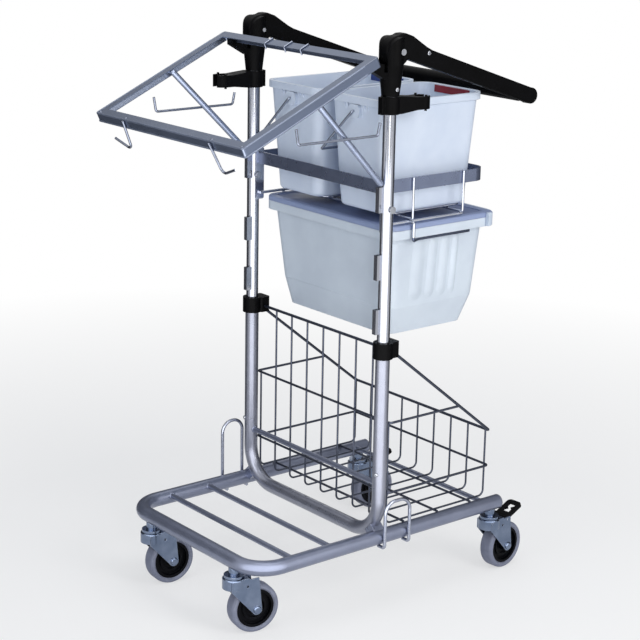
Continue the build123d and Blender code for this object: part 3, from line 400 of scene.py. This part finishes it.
# Hubs: black polypropylene wheel centres, each moulded in one piece and turning on an axle between the cheeks
# of its fork. Their skin is satin, with edges rubbed grey.
hub_plastic = grained_finish(
    "hub_plastic", (paint(6, 7, 11), paint(10, 11, 16)), rough=(0.4, 0.5),
    grain_size=0.0008, grain_depth=0.00003, patch_size=0.02,
    rubbed=paint(56, 58, 64), edge_radius=0.0008, specular=0.06)
dress(["hub_" + name for name in castors], hub_plastic)

# Tyres: non-marking grey rubber moulded round the hubs. It is matt, with a coarse grain, and its edges are
# dusty and paler.
grey_tyre = grained_finish(
    "grey_tyre", (paint(108, 113, 133), paint(121, 126, 146)), rough=(0.6, 0.75),
    grain_size=0.0012, grain_depth=0.00014, patch_size=0.015,
    rubbed=paint(168, 167, 172), edge_radius=0.0015)
dress(["tyre_" + name for name in castors], grey_tyre)

# Bucket rack: a band of flat bar in a dark grey lacquer, with bright zinc wires under it that carry the
# buckets, all hung from two plates bolted to the posts.
band_lacquer = grained_finish(
    "rack_band_lacquer", (paint(116, 125, 149), paint(122, 131, 155)), rough=(0.26, 0.32),
    grain_size=0.0016, grain_depth=0.000006, patch_size=0.04, metallic=0.8,
    rubbed=paint(178, 183, 198), edge_radius=0.0006)
dress(["rack_band", "rack_front_bar"], band_lacquer)
rack_wire = grained_finish(
    "rack_wire", (paint(186, 190, 201), paint(194, 198, 208)), rough=(0.2, 0.25),
    grain_size=0.0014, grain_depth=0.000003, patch_size=0.03, metallic=1.0)
dress(["rack_hanger_plates", "rack_cross_wires", "rack_tray_loops", "rack_side_rods"], rack_wire)

# Box rails: wire hangers under the tray that the storage box slides along, zinc-plated as the rack is. The
# low run of each is painted dark, a painted shade for the shadow under the box's flange.
rail_wire = grained_finish(
    "box_rail_wire", (paint(186, 190, 201), paint(194, 198, 208)), rough=(0.2, 0.25),
    grain_size=0.0014, grain_depth=0.000003, patch_size=0.03, metallic=1.0)
run_height = 0.009
run_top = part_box("box_rails")[0][2] + run_height
run_blur = 0.002
run_shade_tone = paint(84, 91, 110)


def repaint(finish, along, from_low, from_high, tone):
    """Lays a tone over a finish past a line across the piece; X is counted from the middle, both ways."""
    tree_nodes = finish.node_tree.nodes
    links = finish.node_tree.links
    shader = tree_nodes["Principled BSDF"]
    under = shader.inputs["Base Color"].links[0].from_socket
    place = tree_nodes.new("ShaderNodeTexCoord")
    parts = tree_nodes.new("ShaderNodeSeparateXYZ")
    links.new(place.outputs["Object"], parts.inputs["Vector"])
    reach = parts.outputs[along]
    if along == "X":
        either_side = tree_nodes.new("ShaderNodeMath")
        either_side.operation = "ABSOLUTE"
        links.new(reach, either_side.inputs[0])
        reach = either_side.outputs["Value"]
    mask = spread(tree_nodes, links, reach, 0.0, 1.0, from_low, from_high)
    links.new(over_tone(tree_nodes, links, mask, under, tone), shader.inputs["Base Color"])


# Painted shade: the low run of each rail is painted dark, for the shadow under the box's flange.
repaint(rail_wire, "Z", run_top + run_blur, run_top, run_shade_tone)
dress(["box_rails"], rail_wire)

# Buckets: pale blue-white polypropylene tubs, moulded with a turned-down rim, that stand loose in the rack.
# The plastic is faintly cloudy, with fine scuffs in its satin skin.
bucket_plastic = grained_finish(
    "bucket_plastic", (paint(206, 217, 235), paint(214, 224, 240)), rough=(0.32, 0.44),
    grain_size=0.0009, grain_depth=0.00004, patch_size=0.06,
    rubbed=paint(232, 237, 246), edge_radius=0.0014)
dress(["bucket_right", "bucket_left"], bucket_plastic)

# Rim gussets: thin moulded webs under each bucket's turned-down rim, either side of the two bail ears, that
# stiffen the rim where the bail pulls on it.
gusset_thickness = 0.0022
gusset_drop = 0.017
gusset_lift = 0.003
gusset_taper = 0.8
gusset_round = 0.0005
gusset_setback = 0.0012
gusset_bite = 0.0035
gusset_offsets = (-0.034, -0.024, 0.024, 0.034)
rim_depth = 0.264
rim_bottom = 0.998
wall_depth = 0.252
gusset_out = rim_depth / 2 - gusset_setback
gusset_in = wall_depth / 2 - gusset_bite
on_face = 0.0005


def join_as(name, pieces):
    for piece in pieces:
        piece.select_set(True)
    bpy.context.view_layer.objects.active = pieces[0]
    bpy.ops.object.join()
    joined = bpy.context.object
    joined.name = name
    return joined


def rim_gussets(name, bucket, body):
    low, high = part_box(bucket)
    middle_x = (low[0] + high[0]) / 2
    middle_y = (low[1] + high[1]) / 2
    webs = []
    for end in (-1, 1):
        face_y = middle_y + end * gusset_out
        for offset in gusset_offsets:
            bpy.ops.object.select_all(action="DESELECT")
            bpy.ops.mesh.primitive_cube_add(
                size=1.0, scale=(gusset_thickness, gusset_out - gusset_in, gusset_drop),
                location=(middle_x + offset, middle_y + end * (gusset_out + gusset_in) / 2,
                          rim_bottom - gusset_drop / 2 + gusset_lift))
            web = bpy.context.object
            bpy.ops.object.transform_apply(location=True, rotation=True, scale=True)
            choose_edges(web, lambda a, b: abs(a.y - face_y) < on_face and abs(b.y - face_y) < on_face
                         and max(a.z, b.z) < rim_bottom - gusset_drop / 2)
            bpy.ops.transform.translate(value=(0, -end * (gusset_out - gusset_in) * gusset_taper, 0))
            bpy.ops.mesh.select_all(action="SELECT")
            bpy.ops.mesh.bevel(offset=gusset_round, segments=2)
            bpy.ops.object.mode_set(mode="OBJECT")
            webs.append(web)
    gussets = join_as(name, webs)
    bpy.ops.object.shade_smooth_by_angle(angle=math.radians(35))
    gussets.data.materials.append(bucket_plastic)
    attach(gussets, body)


rim_gussets("rim_gussets_right", "bucket_right", "lift_bucket_right")
rim_gussets("rim_gussets_left", "bucket_left", "lift_bucket_left")

# Bails: the buckets' handles, each bent from one bright plated wire whose ends hook into the moulded ears, so
# that it swings. The wire has a faint drawing grain.
bail_wire = grained_finish(
    "bail_wire", (paint(130, 137, 153), paint(142, 149, 164)), rough=(0.2, 0.25),
    grain_size=0.001, grain_depth=0.000002, patch_size=0.02, metallic=1.0)
dress(["bail_right", "bail_left"], bail_wire)

# Coloured strips inside the rims: thin tabs moulded in dyed plastic, one dark red and one blue, that tell the
# two buckets apart.
red_strip = grained_finish(
    "red_strip", (paint(120, 14, 32), paint(136, 20, 40)), rough=(0.36, 0.5),
    grain_size=0.0008, grain_depth=0.00004, patch_size=0.02, edge_radius=0.0006)
blue_strip = grained_finish(
    "blue_strip", (paint(28, 52, 120), paint(36, 62, 134)), rough=(0.36, 0.5),
    grain_size=0.0008, grain_depth=0.00004, patch_size=0.02, edge_radius=0.0006)
dress(["strip_right"], red_strip)
dress(["strip_left"], blue_strip)

# Storage box: a pale blue-grey polypropylene tub, moulded with a crease low in its walls and a turned-down
# flange that rides on the rack's rails.
box_plastic = grained_finish(
    "box_plastic", (paint(203, 213, 225), paint(211, 221, 232)), rough=(0.34, 0.46),
    grain_size=0.001, grain_depth=0.00004, patch_size=0.07,
    rubbed=paint(232, 238, 246), edge_radius=0.0016)
dress(["storage_box"], box_plastic)

# Box flutes: soft convex pleats moulded side by side up the two end walls of the box, running out before the
# crease and the flange.
flute_proud = 0.0050
flute_sink = 0.0004
flute_wall = 0.0014
flute_low = 0.608
flute_high = 0.740
flute_run_out = 0.16
flute_edges = (0.0876, 0.1315, 0.1628, 0.1946, 0.2174)
crease_half = 0.174
crease_z = 0.600
mouth_half = 0.188
mouth_z = 0.762
wall_lean = (mouth_half - crease_half) / (mouth_z - crease_z)


def flute_swell(across, along):
    """How far a pleat stands out of the wall, for places from -0.5 to 0.5 across and along it."""
    fall = min(1.0, (0.5 - abs(along)) / flute_run_out)
    return flute_proud * math.cos(math.pi * across) ** 2 * math.sin(fall * math.pi / 2) ** 2 - flute_sink


for side, hand in hands:
    pleats = []
    for near_edge, far_edge in zip(flute_edges, flute_edges[1:]):
        bpy.ops.object.select_all(action="DESELECT")
        bpy.ops.mesh.primitive_grid_add(x_subdivisions=16, y_subdivisions=20, size=1.0)
        pleat = bpy.context.object
        for point in pleat.data.vertices:
            across, along = point.co.x, point.co.y
            z = (flute_low + flute_high) / 2 + along * (flute_high - flute_low)
            y = post_y + (near_edge + far_edge) / 2 + across * (far_edge - near_edge)
            out = crease_half + (z - crease_z) * wall_lean + flute_swell(across, along)
            point.co = (side * out, y, z)
        bpy.ops.object.mode_set(mode="EDIT")
        bpy.ops.mesh.select_all(action="SELECT")
        if side < 0:
            bpy.ops.mesh.flip_normals()
        bpy.ops.object.mode_set(mode="OBJECT")
        skin = pleat.modifiers.new("wall", "SOLIDIFY")
        skin.thickness = flute_wall
        skin.offset = -1.0
        bpy.ops.object.modifier_apply(modifier=skin.name)
        pleats.append(pleat)
    flutes = join_as("box_flutes_" + hand, pleats)
    bpy.ops.object.shade_smooth_by_angle(angle=math.radians(50))
    flutes.data.materials.append(box_plastic)
    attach(flutes, "slide_box")

# Crease beads: a slim raised line moulded along the crease of each long wall of the box, with its outer edges
# rounded.
bead_half = 0.152
bead_height = 0.0028
bead_proud = 0.0009
bead_round = 0.9 * bead_proud
on_bead = 0.0002
long_walls = (("front", 0.046, -1), ("rear", 0.275, 1))
for name, wall_y, way in long_walls:
    bpy.ops.object.select_all(action="DESELECT")
    bpy.ops.mesh.primitive_cube_add(
        size=1.0, scale=(2 * bead_half, 2 * bead_proud, bead_height),
        location=(0, post_y + wall_y, crease_z))
    bead = bpy.context.object
    bead.name = "box_crease_bead_" + name
    bpy.ops.object.transform_apply(location=True, rotation=True, scale=True)
    outer_y = post_y + wall_y + way * bead_proud
    choose_edges(bead, lambda a, b: abs(a.y - outer_y) < on_bead and abs(b.y - outer_y) < on_bead)
    bpy.ops.mesh.bevel(offset=bead_round, segments=3)
    bpy.ops.object.mode_set(mode="OBJECT")
    bpy.ops.object.shade_smooth_by_angle(angle=math.radians(35))
    bead.data.materials.append(box_plastic)
    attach(bead, "slide_box")

# Lid: a shallow tray turned upside down over the box, moulded in a deeper blue-grey, with a paler border and
# a pale lip that turns down over the box's rear edge.
lid_plastic = grained_finish(
    "lid_plastic", (paint(112, 126, 164), paint(120, 134, 172)), rough=(0.36, 0.46),
    grain_size=0.0009, grain_depth=0.00005, patch_size=0.05,
    rubbed=paint(190, 202, 226), edge_radius=0.0016)
lid_low, lid_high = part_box("box_lid")
border_width = 0.0165
border_blur = 0.001
border_tone = paint(142, 156, 192)
lip_wall = 0.008
lip_tone = paint(204, 216, 232)
lid_side = 0.199
lid_rear = lid_high[1] - lip_wall
panel_side = lid_side - border_width
panel_front = lid_low[1] + border_width
panel_rear = lid_rear - border_width
repaint(lid_plastic, "X", panel_side - border_blur, panel_side, border_tone)
repaint(lid_plastic, "Y", panel_front + border_blur, panel_front, border_tone)
repaint(lid_plastic, "Y", panel_rear - border_blur, panel_rear, border_tone)
repaint(lid_plastic, "Y", lid_rear - border_blur, lid_rear, lip_tone)
repaint(lid_plastic, "X", lid_side, lid_side + border_blur, lip_tone)
dress(["box_lid"], lid_plastic)

# Bag holder: a frame of folded angle bar and two round struts, sprayed grey, with bare zinc wire hooks and
# clips fixed to it. The inner faces of the two side bars are painted paler than the rest, a painted highlight
# for the light that falls on them.
bag_tones = (paint(101, 111, 132), paint(107, 117, 138))
bag_coat = grained_finish(
    "bag_frame_coat", bag_tones, rough=(0.27, 0.32),
    grain_size=0.0016, grain_depth=0.000006, patch_size=0.05, metallic=0.75)
inner_face = 0.2362
outer_face = 0.2380
face_blur = 0.0002
inner_lit_tone = paint(150, 159, 178)
# Painted highlight: the inner faces of the side bars are painted paler, for the light that falls on them.
repaint(bag_coat, "X", inner_face, inner_face + face_blur, inner_lit_tone)
repaint(bag_coat, "X", outer_face, outer_face + face_blur, bag_tones[0])
dress(["bag_frame"], bag_coat)
strut_coat = grained_finish(
    "bag_strut_coat", (paint(146, 156, 179), paint(154, 164, 187)), rough=(0.25, 0.3),
    grain_size=0.0016, grain_depth=0.000006, patch_size=0.05, metallic=0.8)
dress(["bag_struts"], strut_coat)
hook_wire = grained_finish(
    "hook_wire", (paint(126, 132, 147), paint(136, 142, 157)), rough=(0.22, 0.27),
    grain_size=0.0011, grain_depth=0.000002, patch_size=0.03, metallic=1.0)
dress(["bag_side_hooks", "bag_front_hooks", "bag_rear_clips"], hook_wire)

# Bag frame rivets: small domed steel heads on the front bar, at its corners and over the two front hooks. One
# head is made in millimetres and copied.
rivet_radius = 3.0
rivet_height = 1.6
rivet_cut = -0.3 * rivet_radius
rivet_places = (
    ("corner_right", 0.229), ("hook_right", 0.140), ("hook_left", -0.140), ("corner_left", -0.229))
bag_fall = math.radians(24.6)
bag_along = Vector((0, math.cos(bag_fall), math.sin(bag_fall)))
bag_up = Vector((0, -math.sin(bag_fall), math.cos(bag_fall)))
bag_rear = Vector((0, post_y - 0.055, 1.106))
bag_front = -0.3352
rivet_row = bag_front + 0.0055
bpy.ops.object.select_all(action="DESELECT")
bpy.ops.mesh.primitive_uv_sphere_add(segments=24, ring_count=16, radius=rivet_radius)
rivet_head = bpy.context.object
bpy.ops.object.mode_set(mode="EDIT")
bpy.ops.mesh.select_all(action="SELECT")
bpy.ops.mesh.bisect(plane_co=(0, 0, rivet_cut), plane_no=(0, 0, 1), use_fill=True, clear_inner=True)
bpy.ops.object.mode_set(mode="OBJECT")
rivet_head.data.transform(Matrix.Diagonal((1, 1, rivet_height / rivet_radius, 1)))
rivet_head.data.transform(Matrix.Scale(millimetre, 4))
for name, rivet_x in rivet_places:
    spot = bag_rear + Vector((rivet_x, 0, 0)) + rivet_row * bag_along
    rivet = own_copy("bag_rivet_" + name, rivet_head, spot, turn_to(bag_up))
    bpy.ops.object.shade_smooth_by_angle(angle=math.radians(50))
    rivet.data.materials.append(hook_wire)
    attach(rivet, "bag_holder")
bpy.data.objects.remove(rivet_head)

# Bag frame hems: the bar's edges rolled over on its two sides and its front, one run along the top bend and
# one along the lower edge, both in a paler copy of the frame's coat, a painted highlight for the light the
# rolled edges catch. Each run is made flat and then laid in the tilted frame.
# Painted highlight: the hems' coat is paler than the frame's, for the light their rolled edges catch.
hem_highlight_coat = grained_finish(
    "bag_hem_highlight_coat", (paint(116, 125, 145), paint(124, 133, 153)), rough=(0.4, 0.46),
    grain_size=0.0016, grain_depth=0.000004, patch_size=0.05, metallic=0.6)
hem_radius = 0.0020
hem_sides = 14
hem_corner = 0.0045
hem_start = -0.036
hem_steps = 8
frame_side = 0.239
hem_runs = (("top", 0.2376, -0.0012), ("lower", 0.2384, -0.0176))
quarter_turn = math.pi / 2
straight_up = (0, 0, 1)
for name, hem_side, hem_level in hem_runs:
    corner_x = hem_side - hem_corner
    corner_y = bag_front + frame_side - hem_side + hem_corner
    bpy.ops.object.select_all(action="DESELECT")
    bpy.ops.mesh.primitive_circle_add(
        vertices=hem_sides, radius=hem_radius, fill_type="NGON", location=(hem_side, hem_start, 0),
        rotation=(quarter_turn, 0, 0))
    hem = bpy.context.object
    hem.name = "bag_hem_" + name
    bpy.ops.object.transform_apply(location=True, rotation=True, scale=True)
    bpy.ops.object.mode_set(mode="EDIT")
    bpy.ops.mesh.select_mode(type="FACE")
    bpy.ops.mesh.select_all(action="SELECT")
    bpy.ops.mesh.extrude_region_move(TRANSFORM_OT_translate={"value": (0, corner_y - hem_start, 0)})
    bpy.ops.mesh.spin(
        steps=hem_steps, angle=quarter_turn, center=(corner_x, corner_y, 0), axis=straight_up)
    bpy.ops.mesh.extrude_region_move(TRANSFORM_OT_translate={"value": (-2 * corner_x, 0, 0)})
    bpy.ops.mesh.spin(
        steps=hem_steps, angle=quarter_turn, center=(-corner_x, corner_y, 0), axis=straight_up)
    bpy.ops.mesh.extrude_region_move(TRANSFORM_OT_translate={"value": (0, hem_start - corner_y, 0)})
    bpy.ops.mesh.select_all(action="SELECT")
    bpy.ops.mesh.remove_doubles(threshold=0.00001)
    bpy.ops.mesh.normals_make_consistent(inside=False)
    bpy.ops.object.mode_set(mode="OBJECT")
    across = Vector((1, 0, 0))
    spot = bag_rear + hem_level * bag_up
    hem.data.transform(Matrix((
        (across.x, bag_along.x, bag_up.x, spot.x),
        (across.y, bag_along.y, bag_up.y, spot.y),
        (across.z, bag_along.z, bag_up.z, spot.z),
        (0, 0, 0, 1))))
    bpy.ops.object.shade_smooth_by_angle(angle=math.radians(50))
    hem.data.materials.append(hem_highlight_coat)
    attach(hem, "bag_holder")

# Floor: a broad pale studio floor that keeps the trolley's shadow. Away from the trolley it fades into the
# white of the background, as the camera and the metal see it.
floor_size = 60.0
floor_tone = (0.90, 0.90, 0.91, 1.0)
floor_rough = 0.85
near_white = 0.55
fade_start = 0.8
fade_end = 2.4
pure_white = (1.0, 1.0, 1.0, 1.0)


def seen_or_mirrored(tree_nodes, links):
    """1 for a ray that the camera sees straight, mirrored or through glass, 0 for light on a surface."""
    rays = tree_nodes.new("ShaderNodeLightPath")
    seen = rays.outputs["Is Camera Ray"]
    for ray in ("Is Glossy Ray", "Is Transmission Ray"):
        either = tree_nodes.new("ShaderNodeMath")
        either.operation = "MAXIMUM"
        links.new(seen, either.inputs[0])
        links.new(rays.outputs[ray], either.inputs[1])
        seen = either.outputs["Value"]
    return seen


bpy.ops.mesh.primitive_plane_add(size=floor_size, location=(0, 0, 0))
floor = bpy.context.object
floor.name = "floor"
floor_finish, shader = blank_finish("pale_floor")
tree_nodes = floor_finish.node_tree.nodes
links = floor_finish.node_tree.links
shader.inputs["Base Color"].default_value = floor_tone
shader.inputs["Roughness"].default_value = floor_rough
place = tree_nodes.new("ShaderNodeTexCoord")
reach = tree_nodes.new("ShaderNodeVectorMath")
reach.operation = "LENGTH"
links.new(place.outputs["Object"], reach.inputs[0])
far_share = spread(tree_nodes, links, reach.outputs["Value"], near_white, 1.0, fade_start, fade_end)
fade = tree_nodes.new("ShaderNodeMath")
fade.operation = "MULTIPLY"
links.new(far_share, fade.inputs[0])
links.new(seen_or_mirrored(tree_nodes, links), fade.inputs[1])
sweep = tree_nodes.new("ShaderNodeEmission")
sweep.inputs["Color"].default_value = pure_white
either = tree_nodes.new("ShaderNodeMixShader")
links.new(fade.outputs["Value"], either.inputs["Fac"])
links.new(shader.outputs["BSDF"], either.inputs[1])
links.new(sweep.outputs["Emission"], either.inputs[2])
links.new(either.outputs["Shader"], tree_nodes["Material Output"].inputs["Surface"])
floor.data.materials.append(floor_finish)

# Background and soft light: white as the camera and the metal see it, while what falls on the trolley from
# all round is a faint blue-white light.
soft_tone = (0.84, 0.91, 1.0, 1.0)
soft_strength = 0.37
world = bpy.data.worlds.new("studio")
bpy.context.scene.world = world
world.use_nodes = True
tree_nodes = world.node_tree.nodes
links = world.node_tree.links
tree_nodes.clear()
soft_light = tree_nodes.new("ShaderNodeBackground")
soft_light.inputs["Color"].default_value = soft_tone
soft_light.inputs["Strength"].default_value = soft_strength
white = tree_nodes.new("ShaderNodeBackground")
white.inputs["Color"].default_value = pure_white
either = tree_nodes.new("ShaderNodeMixShader")
links.new(seen_or_mirrored(tree_nodes, links), either.inputs["Fac"])
links.new(soft_light.outputs["Background"], either.inputs[1])
links.new(white.outputs["Background"], either.inputs[2])
out = tree_nodes.new("ShaderNodeOutputWorld")
links.new(either.outputs["Shader"], out.inputs["Surface"])

# Lamps: four soft boxes, all turned to the trolley. The strongest stands on the handle side and is a little
# warm, a cooler one stands on the bag side, a strip stands by the camera and one hangs overhead.
trolley_middle = (0, 0, 0.6)
lower_middle = (0, 0, 0.5)


def soft_lamp(name, place, target, width, height, power, tint=(1.0, 1.0, 1.0)):
    lamp = bpy.data.lights.new(name, "AREA")
    lamp.shape = "RECTANGLE"
    lamp.size = width
    lamp.size_y = height
    lamp.energy = power
    lamp.color = tint
    holder = bpy.data.objects.new(name, lamp)
    bpy.context.collection.objects.link(holder)
    holder.location = place
    holder.rotation_euler = (Vector(target) - Vector(place)).to_track_quat("-Z", "Y").to_euler()


soft_lamp("handle_side_lamp", (3.2, 0.5, 1.9), trolley_middle, width=1.6, height=2.2, power=52,
          tint=(1.0, 0.975, 0.93))
soft_lamp("bag_side_lamp", (0.4, -3.2, 2.0), trolley_middle, width=1.6, height=2.0, power=22,
          tint=(0.96, 0.98, 1.0))
soft_lamp("strip_lamp", (3.0, -1.75, 1.1), trolley_middle, width=0.4, height=2.2, power=18)
soft_lamp("top_lamp", (0.3, 0.3, 3.4), lower_middle, width=2.0, height=2.0, power=20)

# Cards: flat studio boards that only show mirrored in the metal. Four dark ones stand beyond the trolley, two
# tall and two low, for the dark edges of the tubes, and a low bright one stands in front for the bright line
# down their middles.
heading = math.radians(50.91)
card_gap = 0.01
dark_cards = (
    ("right", 131, 2.2, 4.1, 2.85),
    ("left", -129, 2.2, 4.1, 2.2),
    ("low_right", 130, 0.78, 1.5, 0.85),
    ("low_left", -130, 0.78, 1.5, 0.85))
dark_tone = (0.10, 0.10, 0.11, 1.0)
dark_rough = 0.9
bright_strength = 3.1
bright_reach = 0.65
bright_width = 1.4
bright_height = 0.78


def stand_card(name, way, reach, width, height, finish):
    """Stands a card on the floor, that far from the middle in the given direction and facing it."""
    bpy.ops.object.select_all(action="DESELECT")
    bpy.ops.mesh.primitive_plane_add(
        size=1.0, location=(reach * math.sin(way), -reach * math.cos(way), height / 2 + card_gap),
        rotation=(math.pi / 2, 0, way))
    card = bpy.context.object
    card.name = name
    card.scale = (width, height, 1.0)
    card.visible_camera = False
    card.visible_diffuse = False
    card.visible_shadow = False
    card.data.materials.append(finish)


dark_finish, shader = blank_finish("dark_card")
shader.inputs["Base Color"].default_value = dark_tone
shader.inputs["Roughness"].default_value = dark_rough
for hand, turn, reach, width, height in dark_cards:
    stand_card("dark_card_" + hand, heading + math.radians(turn), reach, width, height, dark_finish)
bright_finish, shader = blank_finish("bright_card")
shader.inputs["Base Color"].default_value = (0.0, 0.0, 0.0, 1.0)
shader.inputs["Emission Color"].default_value = pure_white
shader.inputs["Emission Strength"].default_value = bright_strength
stand_card("bright_card", heading, bright_reach, bright_width, bright_height, bright_finish)

# Camera: set where the photograph was taken from, with a level heading, a fall and a slight lean. The focal
# length is in pixels of the photograph's frame, and the sensor is as wide as that frame.
camera_place = Vector((2.6572, -2.1619, 1.4992))
fall_angle = math.radians(15.56)
lean = math.radians(1.08)
focal_pixels = 1758.7
frame_pixels = 640
sensor_width = 36.0
forward = Vector((-math.sin(heading) * math.cos(fall_angle), math.cos(heading) * math.cos(fall_angle),
                  -math.sin(fall_angle)))
level = Vector((math.cos(heading), math.sin(heading), 0))
rise = level.cross(forward)
right_hand = math.cos(lean) * level + math.sin(lean) * rise
overhead = right_hand.cross(forward)
lens = bpy.data.cameras.new("photo_camera")
lens.sensor_width = sensor_width
lens.sensor_fit = "HORIZONTAL"
lens.lens = focal_pixels / frame_pixels * sensor_width
lens.clip_end = 50
camera = bpy.data.objects.new("photo_camera", lens)
bpy.context.collection.objects.link(camera)
camera.matrix_world = Matrix((
    (right_hand.x, overhead.x, -forward.x, camera_place.x),
    (right_hand.y, overhead.y, -forward.y, camera_place.y),
    (right_hand.z, overhead.z, -forward.z, camera_place.z),
    (0, 0, 0, 1)))
bpy.context.scene.camera = camera
bpy.context.scene.view_settings.view_transform = "Standard"
